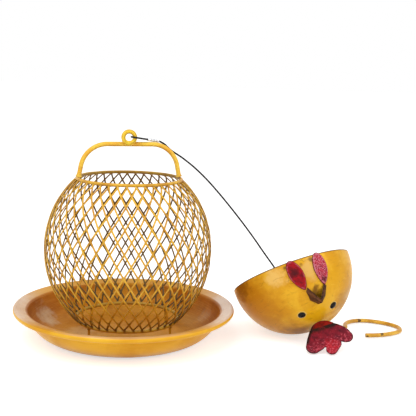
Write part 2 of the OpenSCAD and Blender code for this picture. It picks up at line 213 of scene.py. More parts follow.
def tubePart(grid, loops=False, flip=False, **values):
    # Rings of points as one part of a piece, with a face at both ends unless it loops
    rings, sides = grid.shape[:2]
    ends = [] if loops else [list(range(sides))[::-1], list(range((rings - 1) * sides, rings * sides))]
    quads = gridQuads(rings, sides, rowsClose=loops)
    values = {key: overGrid(value, grid) for key, value in values.items()}
    return grid, quads[:, ::-1] if flip else quads, ends, values


def domePart(grid, flip=False, **values):
    # Rings of points that close to one point at both ends: the first and the last ring are these points
    rings, count = len(grid) - 2, grid.shape[1]

    def poled(value):
        value = overGrid(value, grid).reshape(len(grid), count, -1)
        return joined(value[1:-1].reshape(rings * count, -1), value[0, :1], value[-1, :1])

    here = np.arange(count)
    beside = (here + 1) % count
    last, pole = (rings - 1) * count, rings * count
    fans = joined(stacked(pole, beside, here), stacked(pole + 1, here + last, beside + last))
    way = -1 if flip else 1
    return (poled(grid), gridQuads(rings, count)[:, ::way], fans[:, ::way].tolist(),
            {key: poled(value) for key, value in values.items()})


def addPiece(name, parts, body, nodes, material, sharp=45):
    # One mesh from parts of (points, quads, other faces, values kept on the points)
    points, faces, kept, count = [], [], {}, 0
    for grid, quads, extra, values in parts:
        flat = grid.reshape(-1, 3)
        points.append(flat)
        faces += (quads + count).tolist() + [[v + count for v in face] for face in extra]
        for key, value in values.items():
            kept.setdefault(key, []).append(value.reshape(len(flat), -1))
        count += len(flat)
    mesh = bpy.data.meshes.new(name)
    mesh.from_pydata((np.concatenate(points) * mm).tolist(), [], faces)
    for key, pieces in kept.items():
        value = np.concatenate(pieces).astype(np.float32)
        kind, entry = ("FLOAT_VECTOR", "vector") if value.shape[1] == 3 else ("FLOAT", "value")
        mesh.attributes.new(key, kind, "POINT").data.foreach_set(entry, value.ravel())
    mesh.polygons.foreach_set("use_smooth", np.ones(len(mesh.polygons), bool))
    mesh.set_sharp_from_angle(angle=math.radians(sharp))
    mesh.materials.append(material)
    mesh.update()
    piece = addObject(name, mesh)
    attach(piece, body)
    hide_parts(*nodes)
    print(name, "has", len(mesh.polygons), "faces")
    return piece


# materials
def paint(red, green, blue):
    # A screen colour of 0 to 255 as linear light
    c = (np.array([red, green, blue]) / 255 + 0.055) / 1.055
    return [*(c ** 2.4).tolist(), 1.0]


def addNode(tree, kind, inputs=None, **settings):
    # A node of a material or of the world. An input is a value, or the socket that it comes from.
    node = tree.nodes.new(kind)
    for key, value in settings.items():
        setattr(node, key, value)
    for key, value in (inputs or {}).items():
        if isinstance(value, bpy.types.NodeSocket):
            tree.links.new(value, node.inputs[key])
        else:
            node.inputs[key].default_value = value
    return node


class Finish:
    # A material whose nodes are added one call at a time. A colour is given as a tone's name, a screen
    # colour or a socket.

    def __init__(self, name, tones, roughness, metallic=0.0, coat=0.0, coatRoughness=0.1, specular=0.5):
        self.material = bpy.data.materials.new(name)
        self.material.use_nodes = True
        self.tones = tones
        self.tree = self.material.node_tree
        self.shader = self.tree.nodes["Principled BSDF"]
        for socket, value in (("Roughness", roughness), ("Metallic", metallic), ("Coat Weight", coat),
                              ("Coat Roughness", coatRoughness), ("Specular IOR Level", specular)):
            self.shader.inputs[socket].default_value = value

    def put(self, kind, inputs=None, **settings):
        return addNode(self.tree, kind, inputs, **settings).outputs

    def place(self):
        return self.put("ShaderNodeTexCoord")["Object"]

    def kept(self, name, part="Fac"):
        return self.put("ShaderNodeAttribute", attribute_name=name)[part]

    def stretched(self, vector, scale, turn=(0, 0, 0)):
        return self.put("ShaderNodeMapping", {"Vector": vector, "Scale": scale, "Rotation": turn})[0]

    def noise(self, vector, scale, detail, roughness=0.55, distortion=0.0):
        return self.put("ShaderNodeTexNoise", {"Vector": vector, "Scale": scale, "Detail": detail,
                                               "Roughness": roughness, "Distortion": distortion})[0]

    def cells(self, vector, scale):
        return self.put("ShaderNodeTexVoronoi", {"Vector": vector, "Scale": scale})["Distance"]

    def between(self, value, low, high, start=0.0, end=1.0):
        # Value from low to high becomes start to end, with soft ends
        return self.put("ShaderNodeMapRange", {"Value": value, "From Min": low, "From Max": high,
                                               "To Min": start, "To Max": end},
                        interpolation_type="SMOOTHSTEP")[0]

    def parts(self, vector):
        # The X, Y and Z of a vector
        return self.put("ShaderNodeSeparateXYZ", {0: vector})

    def gapTo(self, vector, spot):
        return self.put("ShaderNodeVectorMath", {0: vector, 1: spot}, operation="DISTANCE")["Value"]

    def worked(self, operation, first, second=0.0):
        return self.put("ShaderNodeMath", {0: first, 1: second}, operation=operation)[0]

    def plus(self, first, second):
        return self.worked("ADD", first, second)

    def times(self, first, second):
        return self.worked("MULTIPLY", first, second)

    def colour(self, value):
        if isinstance(value, bpy.types.NodeSocket):
            return value
        return paint(*(self.tones[value] if isinstance(value, str) else value))

    def mixed(self, factor, first, second):
        return self.put("ShaderNodeMix", {0: factor, 6: self.colour(first), 7: self.colour(second)},
                        data_type="RGBA")[2]

    def over(self, tone, colour, value, low, high, start=0.0, end=1.0):
        # The tone with another colour over it, as strong as the value says
        return self.mixed(self.between(value, low, high, start, end), tone, colour)

    def ragged(self, vector, scale, detail, amount):
        # Uneven distance between minus and plus the amount, for the edge of a spot
        return self.between(self.noise(vector, scale, detail), 0.2, 0.8, -amount, amount)

    def spotted(self, tone, vector, spot, inner, outer, strength, colour, ragged):
        # A spot of another colour, as strong as it gets out to inner and gone at outer
        gap = self.plus(self.gapTo(vector, spot), ragged)
        return self.over(tone, colour, gap, inner, outer, strength, 0)

    def toShader(self, name, value):
        self.tree.links.new(value, self.shader.inputs[name])

    def dulled(self, value, glossy, dull):
        # Roughness that follows a value
        self.toShader("Roughness", self.between(value, 0, 1, glossy, dull))

    def finished(self, tone, height, strength, distance=0.0003):
        # The material, with its colour and a bump from the height
        self.toShader("Base Color", tone)
        self.toShader("Normal", self.put("ShaderNodeBump", {"Strength": strength, "Distance": distance,
                                                            "Height": height})[0])
        return self.material


wireTones = {
    "brown": (118, 72, 20),
    # painted shade: the colour a wire turns to on its inward-facing sides and low on the cage
    "insideShade": (74, 58, 24),  # where a wire faces inwards
    "chip": (128, 82, 34),
    "bare": (66, 40, 20),
}


def goldWire(name, bright, deep, chipsOver=None, bare=()):
    # Gold paint over wire: cloudy tone, fine orange peel, brown where the paint is worn or knocked off, and
    # painted shade where the points' shade value says
    f = Finish(name, {**wireTones, "bright": bright, "deep": deep}, 0.42, metallic=0.2, coat=0.08,
               coatRoughness=0.2, specular=0.28)
    where = f.place()
    tone = f.mixed(f.between(f.noise(where, 90, 4), 0.35, 0.68), "bright", "deep")
    tone = f.over(tone, "brown", f.noise(where, 900, 3), 0.62, 0.74, 0, 0.45)
    # painted shade, as strong as the shade value kept on the points
    tone = f.mixed(f.kept("shade"), tone, "insideShade")
    if chipsOver:
        off = f.between(f.noise(where, 170, 5, 0.6), chipsOver, chipsOver + 0.03)
        tone = f.mixed(off, tone, "chip")
        f.dulled(off, 0.36, 0.62)
    for spot, size in bare:
        tone = f.spotted(tone, where, [v * mm for v in spot], 0.6 * size * mm, size * mm, 0.9, "bare",
                         f.ragged(where, 500, 3, mm))
    return f.finished(tone, f.plus(f.noise(where, 700, 4), f.times(f.noise(where, 120, 2), 1.5)), 0.25)


# cable with its two loops and two sleeves
cable = {
    "thickness": 1.8,
    "sides": 24,
    "route": [(30.40, 9.69, 195.62), (31.68, 10.43, 195.38), (36.5, 10.9, 192.8), (40.1, 11.8, 189.5),
              (44.7, 12.7, 185.7), (55.25, 15, 178.85), (68.15, 17.2, 168.8), (81, 18.65, 156.75),
              (94.1, 19.15, 142.6), (107.1, 18.55, 127.5), (119.4, 16.8, 112.5), (130.9, 13.9, 97.6),
              (140.9, 10.2, 83.9), (151.52, 4.97, 69.65), (159.77, 0.82, 56.58), (168.03, -3.32, 43.51),
              (176.28, -7.47, 30.44), (184.54, -11.61, 17.36), (187.64, -13.16, 12.46),
              (189.29, -13.99, 9.85), (190.5, -14.35, 8.25), (192.1, -14.4, 6.8), (193.9, -14.05, 5.6),
              (196.15, -13.25, 4.75), (198.65, -11.83, 4.55), (199.15, -11.5, 4.55)],
    "spacing": 1.2,  # between the tube's rings
    "lobes": 6,
    "lay": 11.0,  # length in which the strands under the coat go once round
    "lobeDepth": 0.035,
    "black": (4, 4, 5),
    "rubbedAndSheen": (16, 15, 14),
}
loop = {
    "near": 14.0,  # length from the sleeve to the middle of the wire that the loop hangs on
    "far": 8.0,
    "gap": 0.45,
    "apart": 0.95,  # from the middle of the sleeve to each strand
    "touch": 0.1,
    "nearTurn": 20.0,
    "nearTilt": 9.0,
    "farHeading": 33.5,
    "spacing": 0.9,  # between the tube's rings
}
sleeve = {
    "near": 13.0,  # length
    "far": 12.0,
    "thickness": 2.8,
    "crimps": 3,
    "crimpDepth": 0.11,
    "crimpWidth": 0.055,  # share of the length
    "crimpSpread": 0.35,  # how much of a crimp's depth goes sideways
    "widest": 1.02,
    "edge": 0.45,
    "edgeDrop": 0.22,
    "stations": 52,
    "sides": 40,
    "bright": (240, 240, 242),
    "grey": (196, 197, 202),
    "crimped": (120, 120, 124),
}
hookWire = 4.5
cage = {
    "width": 163.0,
    "eggHeight": 179.5,
    "mouth": 101.5,
    "ringWire": 3.3,
    "ringHeight": 18.8,
    "shift": 2.7,
    "legWire": 2.5,
    "legs": {"front_left": -46, "front_right": 56, "back_right": 128, "back_left": -134},
    "strands": 39,
    "strandWidth": 1.6,
    "strandThickness": 1.0,
    "strandTurn": 67.0,
    "firstStrand": -88,
    "layerGap": 0.1,
    "knuckle": 0.1,  # how much wider a strand is where it crosses another
    "weldFacing": (0.752, 0.659),  # out and up, where the strands meet a ring
    "strandWeld": (1.25, 0.42),  # half its width, and how far it stands out
    "ringStations": 624,
    "ringSides": 20,
    "thinner": 0.03,  # leaves room for the ripples
    "uneven": 0.05,
    "wobble": 0.06,
    "legWelds": (0.95, 0.6),  # how far the welds at its bottom and top stand out
    "legBow": 0.22,
    "legSides": 18,
}
mouthAngle = math.degrees(math.acos(cage["mouth"] / cage["width"]))
ringRise = cage["eggHeight"] / 2 * math.sin(math.radians(mouthAngle))
eggMiddle = cage["ringHeight"] + ringRise
topRing = eggMiddle + ringRise
handle = {
    "rise": 33.7,
    "feet": 100.0,
    "corners": 87.0,
    "shoulder": 26.0,
    "wire": 4.6,
    "turn": 10.0,
    "eyeWire": 4.3,
    "eyeWidth": 11.4,
    "eyeShift": -1.8,
    "eyeLift": 6.9,
    "eyeWeld": 2.35,  # radius of the eye's wire where it is welded to the bar
    "weld": (0.9, 1.7),  # how far a foot's weld stands out from the wire, and how long it is
    "thinner": 0.02,
    "spacing": 1.1,
    "sides": 28,
    "eyeStations": 120,
    "eyeSides": 30,
}
eyeDrop = handle["eyeLift"] - handle["eyeWidth"] / 2
eyeFront = math.sqrt(((handle["wire"] + handle["eyeWire"]) / 2 + 0.1) ** 2 - eyeDrop ** 2)
eyeHeight = topRing + handle["rise"] + handle["eyeLift"]
eyeMiddle = np.array([handle["eyeShift"], -eyeFront, eyeHeight])
handleTurn = turned("Z", handle["turn"])
cageShift = np.array([cage["shift"], 0, 0])
farAhead = turned("Z", loop["farHeading"])[:, 0]
cableEnds = {  # wire that the loop hangs on, frame and place
    "near": (handle["eyeWire"],
             handleTurn @ turned("Z", loop["nearTurn"]) @ turned("Y", loop["nearTilt"]),
             placed(eyeMiddle + [handle["eyeWidth"] / 2, 0, 0], handleTurn, cageShift)),
    "far": (hookWire,
            turned("Z", loop["farHeading"] + 180) @ turned("X", 90),
            np.array(cable["route"][-1]) + (sleeve["far"] + loop["far"]) * farAhead),
}


def cableCoat():
    # Black plastic coat with a faint twist, duller where it has been rubbed
    f = Finish("coatBlack", cable, 0.4, specular=0.25)
    where = f.place()
    rubbedAndSheen = f.between(f.noise(where, 140, 4), 0.45, 0.7)
    f.dulled(rubbedAndSheen, 0.34, 0.52)
    return f.finished(f.mixed(rubbedAndSheen, "black", "rubbedAndSheen"), f.noise(where, 1400, 2), 0.2, 0.0002)


def sleeveMetal():
    # Pressed aluminium: bright, with grey clouds and grey in the crimps
    f = Finish("sleeveMetal", sleeve, 0.34, metallic=0.75)
    where = f.place()
    cloud = f.between(f.noise(where, 300, 4), 0.35, 0.7)
    tone = f.mixed(f.times(f.kept("crimp"), 0.55), f.mixed(cloud, "bright", "grey"), "crimped")
    f.dulled(cloud, 0.28, 0.44)
    return f.finished(tone, f.noise(where, 1600, 3), 0.25, 0.0002)


coatBlack, sleeveBright = cableCoat(), sleeveMetal()


def addCable(name, node, line, across):
    # Tube whose radius has shallow lobes that wind round it, as the strands press through the coat
    turns = 2 * math.pi * lengthAlong(line)[:, None] / cable["lay"]
    wave = np.cos(cable["lobes"] * (roundAngles(cable["sides"]) - turns))
    grid = tubeAlong(line, cable["thickness"] / 2 - cable["lobeDepth"] * (1 - wave) / 2, across)
    return addPiece(name, [tubePart(grid)], "tether", [node], coatBlack)


def makeLoop(end):
    # Cable from the sleeve round a wire and back: two straight legs that just touch one arc
    wire, matrix, start = cableEnds[end]
    length, apart = loop[end], loop["apart"]
    r = wire / 2 + loop["gap"] + cable["thickness"] / 2
    reach = math.hypot(length, apart)
    converge = math.asin(r / reach) - math.atan(apart / length)
    lead = loop["touch"] + cable["thickness"] / 2 * math.sin(converge)
    leg = math.sqrt(reach * reach - r * r) - lead
    converge = math.degrees(converge)
    line = bentLine([[leg], [r, -180 - 2 * converge], [leg]], loop["spacing"])
    line = placed(line + [lead, 0, 0], turned("Z", 180 + converge), (length, -apart, 0))
    return addCable(end + "Loop", end + "_loop", placed(line, matrix, start), matrix[:, 2])


def makeSleeve(end):
    # Flat-sided tube along +X: two half circles and the flats between them, pinched at each crimp and
    # rounded over at both ends
    s, length = sleeve, sleeve[end]
    matrix, start = cableEnds[end][1:]
    half, r = loop["apart"], s["thickness"] / 2
    rim = joined([0], np.linspace(0.02, 1, 6) ** 2 * s["edge"])
    x = np.linspace(s["edge"], length - s["edge"], s["stations"])
    x = joined(rim, x[1:-1], length - rim[::-1])
    toEdge = 1 - np.clip(np.minimum(x, length - x) / s["edge"], 0, 1)
    rounding = 1 - s["edgeDrop"] * (1 - np.sqrt(1 - toEdge ** 2))
    middles = length * np.arange(1, s["crimps"] + 1) / (s["crimps"] + 1)
    pinch = hump(x[:, None] - middles, length * s["crimpWidth"]).sum(-1)
    angle = roundAngles(s["sides"], 0.5)
    wide = rounding * np.minimum(1 + s["crimpSpread"] * s["crimpDepth"] * pinch, s["widest"])
    thick = rounding * (1 - s["crimpDepth"] * pinch)
    grid = stacked(x[:, None] + loop[end],
                   wide[:, None] * (half * np.sign(np.cos(angle)) + r * np.cos(angle)),
                   thick[:, None] * r * np.sin(angle))
    grid = placed(grid, matrix, start)
    return addPiece(end + "Sleeve", [tubePart(grid, crimp=np.clip(pinch, 0, 1)[:, None])], "tether",
                    [end + "_sleeve"], sleeveBright, sharp=50)


cableLine = spread(smoothLine(cable["route"]), cable["spacing"])
tetherCable = addCable("tetherCable", "tether_cable", cableLine, (0, 1, 0))
nearLoop, farLoop = makeLoop("near"), makeLoop("far")
nearSleeve, farSleeve = makeSleeve("near"), makeSleeve("far")


# tray
tray = {
    "width": 220.0,
    "height": 31.6,
    "wall": 1.2,
    "bowlRadius": 33.5,
    "bowlEnd": -11.5,  # degrees, where the bowl's curve turns into the flange
    "flange": 12.5,
    "corner": 27.7,  # height of the bend under the flange
    "underRadii": (101.5, 103.3, 104.6),
    "overRadii": (105.2, 103.2, 101.2, 99.3),
    "dip": 2.9,
    "lip": 2.8,
    "lipStart": 148,  # degrees
    "lipEnd": -118,
    "around": 288,
    "waver": 0.25,  # how far the sheet is out of round
    "flangeFrom": (97.0, 98.6),  # radii between which the bowl's finish becomes the flange's
    "footEdge": 1.6,  # height of the dark edge at the bottom
    # painted reflections (the pale patches), a darker patch on the floor and a lighter back wall
    "wearAndSheen": [  # place, size, colour and strength
        ((-83, 31, 9), 18, (212, 182, 144), 0.8),
        ((-44, 2, 1), 26, (224, 186, 124), 0.5),
        ((84, 28, 8), 13, (198, 158, 112), 0.55),
        ((72, 42, 2), 30, (132, 78, 18), 0.35),
        ((0, 96, 22), 62, (222, 158, 44), 0.65),
    ],
}
trayTones = {
    "outBright": (252, 194, 52),
    "outDeep": (236, 170, 36),
    "outShade": (204, 140, 34),
    "floorBright": (218, 150, 38),
    "floorDeep": (192, 122, 28),
    "wallBright": (202, 124, 18),
    "wallDeep": (174, 100, 12),
    "flangeBright": (228, 166, 58),
    "flangeDeep": (210, 144, 42),
    # pale tones of the flange's painted reflections
    "pale": (238, 210, 184),
    "sandy": (228, 192, 158),
    "palest": (246, 226, 210),
    "brightStreak": (244, 200, 96),
    "darkStreak": (140, 84, 18),
    "edge": (92, 56, 20),
}


def arcPoints(middle, radius, start, end, count):
    # Points on a circle between two angles in degrees
    a = np.radians(np.linspace(start, end, count))
    return middle + radius * stacked(np.cos(a), np.sin(a))


def softCorner(before, corner, after, count=7):
    # Quadratic curve from one point to another that bends where the corner is
    t = np.linspace(0, 1, count)[:, None]
    return (1 - t) ** 2 * before + 2 * t * (1 - t) * np.array(corner) + t ** 2 * after


def trayProfile():
    # Half section of the tray, from the axis along its outside, round the lip and back along its inside
    wall, bowl, lip, height = tray["wall"], tray["bowlRadius"], tray["lip"], tray["height"]
    bend = tray["width"] / 2 - tray["flange"]
    floorR = bend - bowl
    lipAt = np.array([tray["width"] / 2 - lip, height - lip])
    innerX, innerZ = bend - wall, height - tray["dip"]
    slope = math.atan2(height - innerZ, lipAt[0] - innerX)

    def sheet(radii, depth=0.0):
        # The flange's slope at some radii, on its top or at a depth under it
        r = np.array(radii)
        return stacked(r, innerZ + (r - innerX) * math.tan(slope) - depth)

    under = wall * 1.03
    cut = tray["lipEnd"] - 3
    cutAt = arcPoints(lipAt, lip - wall / 2, cut, cut, 1)
    outside = arcPoints((floorR, bowl), bowl, -90, tray["bowlEnd"], 26)
    inside = arcPoints((floorR, bowl), bowl - wall, tray["bowlEnd"], -90, 26)
    return joined(
        stacked(np.linspace(0, floorR, 9)[:-1], 0.0),
        outside,
        softCorner(outside[-1] + [0.1, 0.4], (bend + 0.1, tray["corner"]), sheet(bend + 2.2, under))[1:],
        sheet(tray["underRadii"], under),
        arcPoints(lipAt, lip - wall, tray["lipStart"], tray["lipEnd"], 17),
        arcPoints(cutAt, wall / 2, cut + 180, cut, 5)[1:-1],
        arcPoints(lipAt, lip, tray["lipEnd"], 90 + math.degrees(slope), 26),
        sheet(tray["overRadii"]),
        softCorner(sheet(bend + 0.9), (innerX + 0.1, innerZ), inside[0] + [0.12, 0.6])[:-1],
        inside,
        stacked(np.linspace(floorR, 0, 12)[1:], wall),
    )


def trayPaint():
    # Amber lacquer on spun sheet: rings from the spinning, clouds, painted shade low on the outside, a
    # darker bowl with painted reflections and other patches, and a flange whose painted reflections make it
    # pale at its two sides and at its front
    f = Finish("trayPaint", trayTones, 0.42, metallic=0.12, coat=0.04, coatRoughness=0.3, specular=0.12)
    where = f.place()
    x, y, _ = f.parts(where)
    high = f.kept("high")
    swept = f.kept("swept", "Vector")
    cloud = f.between(f.noise(where, 22, 4, 0.55, 0.4), 0.36, 0.66)
    outTone = f.mixed(cloud, "outBright", "outDeep")
    # painted shade: the outside darkens towards the bottom
    outTone = f.over(outTone, "outShade", high, 0.36, 0.04, 0, 0.7)
    inTone = f.mixed(f.between(high, 0.05, 0.4), f.mixed(cloud, "floorBright", "floorDeep"),
                     f.mixed(cloud, "wallBright", "wallDeep"))
    # painted reflections and other patches in the bowl
    for spot, size, colour, strength in tray["wearAndSheen"]:
        size *= mm
        inTone = f.spotted(inTone, where, [v * mm for v in spot], size * 0.25, size, strength, colour,
                           f.ragged(where, 80, 4, size * 0.4))
    tone = f.mixed(f.kept("inside"), outTone, inTone)
    # painted reflections: the flange is paled at its two sides and at its front
    pale = f.mixed(f.between(x, 0.06, 0.1, 0, 0.8), f.mixed(cloud, "pale", "sandy"), "palest")
    rubbedAndSheen = f.plus(f.between(x, -0.078, -0.106), f.between(x, 0.07, 0.102))
    rubbedAndSheen = f.worked("MAXIMUM", rubbedAndSheen, f.between(y, -0.086, -0.102, 0, 0.3))
    rubbedAndSheen = f.times(rubbedAndSheen, f.between(f.noise(where, 45, 5, 0.65), 0.28, 0.5, 0.55, 1))
    rubbedAndSheen = f.times(rubbedAndSheen, f.between(y, 0.02, 0.06, 1, 0.25))
    gold = f.mixed(cloud, "flangeBright", "flangeDeep")
    tone = f.mixed(f.kept("flange"), tone, f.mixed(rubbedAndSheen, gold, pale))
    streak = f.noise(f.stretched(swept, (0.35, 2.2, 2.2)), 1.0, 4, 0.6)
    tone = f.over(tone, "brightStreak", streak, 0.5, 0.75, 0, 0.3)
    tone = f.over(tone, "darkStreak", streak, 0.28, 0.46, 0.25, 0)
    tone = f.mixed(f.kept("edge"), tone, "edge")
    f.dulled(cloud, 0.28, 0.42)
    rings = f.noise(f.stretched(swept, (0.08, 3.0, 3.0)), 1.0, 3)
    return f.finished(tone, f.plus(rings, f.times(f.noise(where, 60, 2), 0.8)), 0.22, 0.0004)


def makeTray():
    # The profile swept round the axis. The sheet is a little out of round, more so higher up.
    profile = trayProfile()
    r, z = profile[:, :1], profile[:, 1:]
    angle = roundAngles(tray["around"])
    high = z / tray["height"]
    waver = tray["waver"] * high ** 2 * (np.sin(3 * angle + 1.1) + 0.5 * np.sin(5 * angle) - 1.4) / 2
    wide = np.where(r > 1, r + waver, r)
    row = np.arange(len(profile))[:, None]
    lipRow = int(np.argmax(profile[:, 1]))
    flange = ramp01(r, *tray["flangeFrom"]) * (row > lipRow - 6)
    edge = ramp01(tray["footEdge"] - z, 0, tray["footEdge"]) * (row < 30) * ramp01(r, 50, 70)
    swept = stacked(40 * np.abs(angle - math.pi) / math.pi, wide, z)
    part = domePart(stacked(wide * np.cos(angle), wide * np.sin(angle), z), inside=1.0 * (row > lipRow),
                    high=high, flange=flange, edge=edge, swept=swept)
    addPiece("trayBowl", [part], "feeder", ["tray_floor", "tray_wall", "tray_flange"],
             trayPaint())


makeTray()

# cage: two rings, four legs and two layers of strands
cageGold = goldWire("cageGold", (238, 186, 58), (204, 144, 36))
slope = cage["strandTurn"] / (2 * mouthAngle)
spacing = 360 / cage["strands"]
strandStop = cage["ringWire"] / 2 + cage["strandWidth"] / 4 + 0.2  # from the middle of the ring
strandEnd = mouthAngle - math.degrees(strandStop / (cage["eggHeight"] / 2))


def addWire(name, parts, node, material=cageGold):
    # A wire of the cage or its handle
    addPiece(name, parts, "feeder", [node], material)


def ballWay(lat, lon):
    # Direction of a latitude and longitude in degrees
    lat, lon = np.radians(lat), np.radians(lon)
    return stacked(np.cos(lat) * np.cos(lon), np.cos(lat) * np.sin(lon), np.sin(lat))


def makeStrands(name, node, hand):
    # Flat strands that wind over the egg from ring to ring: longitude grows with latitude, one way or the
    # other. The section is a rounded rectangle, and a strand swells where it crosses the other layer.
    crossing = spacing / (2 * slope)
    lat = np.arange(-49, 50) * crossing / 7
    lat = joined([-strandEnd], lat[np.abs(lat) < strandEnd - 0.15], [strandEnd])
    start = spacing * np.arange(cage["strands"]) + cage["firstStrand"]
    lon = start[:, None] + hand * slope * lat[None]
    lats = np.broadcast_to(lat, lon.shape)
    halfSizes = np.array([cage["width"], cage["width"], cage["eggHeight"]]) / 2
    outward = unitRows(ballWay(lats, lon) / halfSizes)
    layer = -hand * (cage["strandThickness"] + cage["layerGap"]) / 2
    line = ballWay(lats, lon) * halfSizes + layer * outward
    side = unitRows(np.cross(outward, unitRows(np.gradient(line, axis=1))))
    swell = cage["knuckle"] * hump(offBeat(lats, crossing), crossing * 0.2)[..., None]
    wobble = cage["wobble"] * ripples(line, 31 if hand > 0 else 37, 30)[..., None]
    c, s = np.cos(roundAngles(8, 0.5)), np.sin(roundAngles(8, 0.5))
    squared = 1.16 / 1.05 * np.maximum(np.abs(c), np.abs(s)) ** -0.35
    wide = cage["strandWidth"] / 2 * (0.97 + swell) * c * squared + wobble
    thick = cage["strandThickness"] / 2 * (0.94 + 0.4 * swell) * s * squared
    grid = line[:, :, None] + wide[..., None] * side[:, :, None] + thick[..., None] * outward[:, :, None]
    grid = grid + cageShift + [0, 0, eggMiddle]
    # painted shade: each strand's inward-facing side, and the strands low on the egg, are darkened
    shade = np.clip(0.88 * ramp01(-s, -0.2, 0.7) + 0.75 * ramp01(-lats, 34, 48)[..., None], 0, 0.95)
    addWire(name, [tubePart(strand, shade=tone) for strand, tone in zip(grid, shade)], node)


def makeRing(name, node, height, way, insideShade, shadeAllOver):
    # Ring of wire with a small weld where each strand meets it. Angles in a section start outwards.
    angle, around = roundAngles(cage["ringStations"]), roundAngles(cage["ringSides"])
    middle = cage["mouth"] / 2
    path = middle * stacked(np.cos(angle), np.sin(angle), 0.0)
    toStrand = offBeat(np.degrees(angle) - cage["firstStrand"] - slope * strandEnd, spacing)
    out, up = cage["weldFacing"]
    # the tube's second axis is ahead crossed with outwards, which points down
    facing = np.cos(around) * out + np.sin(around) * up * way
    size, stand = cage["strandWeld"]
    weld = hump(np.radians(toStrand) * middle, size)[:, None] * ramp01(facing, 0.1, 0.95)
    radii = cage["ringWire"] / 2 - cage["thinner"] + stand * weld
    radii = radii + cage["uneven"] * ripples(path, 5, 14)[:, None]
    grid = tubeAlong(path, radii, unitRows(path), loops=True) + cageShift + [0, 0, height]
    # painted shade on the ring's inward-facing side and all over the bottom ring, and darker at the welds
    shade = np.clip(insideShade * ramp01(-np.cos(around), 0.1, 0.85) + 0.35 * weld + shadeAllOver, 0, 0.92)
    addWire(name, [tubePart(grid, loops=True, shade=shade)], node)


def makeLeg(index, side, degrees):
    # Upright wire from the tray to the bottom ring, spread out at both ends where it is welded
    low, high = tray["wall"], cage["ringHeight"] - cage["ringWire"] / 2 - 0.1
    z = joined(low + np.linspace(0, 2.4, 9), np.linspace(low + 2.9, high - 2.3, 9),
               high - np.linspace(1.8, 0, 8))
    bow = cage["legBow"] * np.sin((z - low) / (high - low) * math.pi)
    path = stacked(bow, -cage["mouth"] / 2, z)
    lowWeld, highWeld = cage["legWelds"]
    weld = (lowWeld * hump(z - low, 1.0) + highWeld * hump(high - z, 0.8))[:, None]
    radii = cage["legWire"] / 2 + weld * (1 + 0.15 * np.sin(3 * roundAngles(cage["legSides"]) + index))
    grid = placed(tubeAlong(path, radii, (1, 0, 0)), turned("Z", degrees), cageShift)
    part = tubePart(grid, shade=np.clip(0.25 + 0.5 * weld, 0, 0.8))
    addWire("leg" + side.title().replace("_", ""), [part], "leg_" + side)


makeStrands("strandsInner", "strands_inner", 1)
makeStrands("strandsOuter", "strands_outer", -1)
makeRing("ringTop", "cage_top_ring", topRing, 1, 0.6, 0)
makeRing("ringBottom", "cage_bottom_ring", cage["ringHeight"], -1, 0.15, 0.3)
for legIndex, (legSide, legAngle) in enumerate(cage["legs"].items()):
    makeLeg(legIndex, legSide, legAngle)

# handle and its eye
handleGold = goldWire("handleGold", (253, 208, 74), (238, 174, 52))
eyeGold = goldWire("eyeGold", (255, 224, 70), (240, 186, 40))


def makeHandle():
    # One wire: a leaning leg, a shoulder, the bar, a shoulder and a leg, with a weld at each foot
    h = handle
    footHeight = cage["ringWire"] / 2 + 0.1
    lean = math.atan((h["feet"] - h["corners"]) / 2 / h["rise"])
    cut = h["shoulder"] * math.tan((math.pi / 2 - lean) / 2)
    leg = [(h["rise"] - footHeight) / math.cos(lean) - cut]
    shoulder = [h["shoulder"], math.degrees(lean) - 90]
    line = bentLine([leg, shoulder, [h["corners"] - 2 * cut], shoulder, leg], h["spacing"])
    close = np.linspace(0, 1, 6)[1:-1, None]  # more rings at the feet, for the welds
    line = joined(line[:1], line[:1] + close * (line[1] - line[0]), line[1:-1],
                  line[-1:] - close[::-1] * (line[-1] - line[-2]), line[-1:])
    run = lengthAlong(line)[:, None]
    fromEnd = np.minimum(run, run[-1] - run)
    stand, size = h["weld"]
    weld = stand * hump(fromEnd, size) * (1 + 0.2 * np.sin(2 * roundAngles(h["sides"]) + 0.6))
    radii = h["wire"] / 2 - h["thinner"] + weld
    matrix = handleTurn @ turned("Y", -90 + math.degrees(lean)) @ turned("X", 90)
    foot = np.array([-h["feet"] / 2 + footHeight * math.tan(lean), 0, topRing + footHeight])
    line = placed(line, matrix, placed(foot, handleTurn, cageShift))
    shade = np.clip(0.2 + 0.15 * hump(fromEnd - 2.6, 1.2) - ramp01(fromEnd, 1, 5), 0, 1)
    part = tubePart(tubeAlong(line, radii, matrix[:, 2]), shade=shade)
    addWire("handleBow", [part], "handle", handleGold)


def makeHandleEye():
    # Ring wound from thin wire: the section has three lobes and turns by a third of a turn round the ring,
    # and it is thicker at the bottom, where it is welded to the bar
    h = handle
    angle, around = roundAngles(h["eyeStations"]), roundAngles(h["eyeSides"])
    path = h["eyeWidth"] / 2 * stacked(np.cos(angle), 0.0, np.sin(angle))
    lobes = np.abs(np.cos(1.5 * (around - angle[:, None] / 3)))
    weld = hump(offBeat(angle + math.pi / 2, 2 * math.pi), 0.34)[:, None]
    radii = h["eyeWire"] / 2 * (0.86 + 0.14 * lobes ** 0.6) * (1 - weld) + weld * h["eyeWeld"]
    grid = placed(tubeAlong(path, radii, unitRows(path), loops=True) + eyeMiddle, handleTurn, cageShift)
    # painted shade in the grooves between the wound wire's lobes
    grooveShade = np.clip(1 - lobes * 3.2, 0, 1) * (1 - weld) * 0.8
    addWire("handleEye", [tubePart(grid, loops=True, shade=grooveShade)], "handle_eye", eyeGold)


makeHandle()
makeHandleEye()

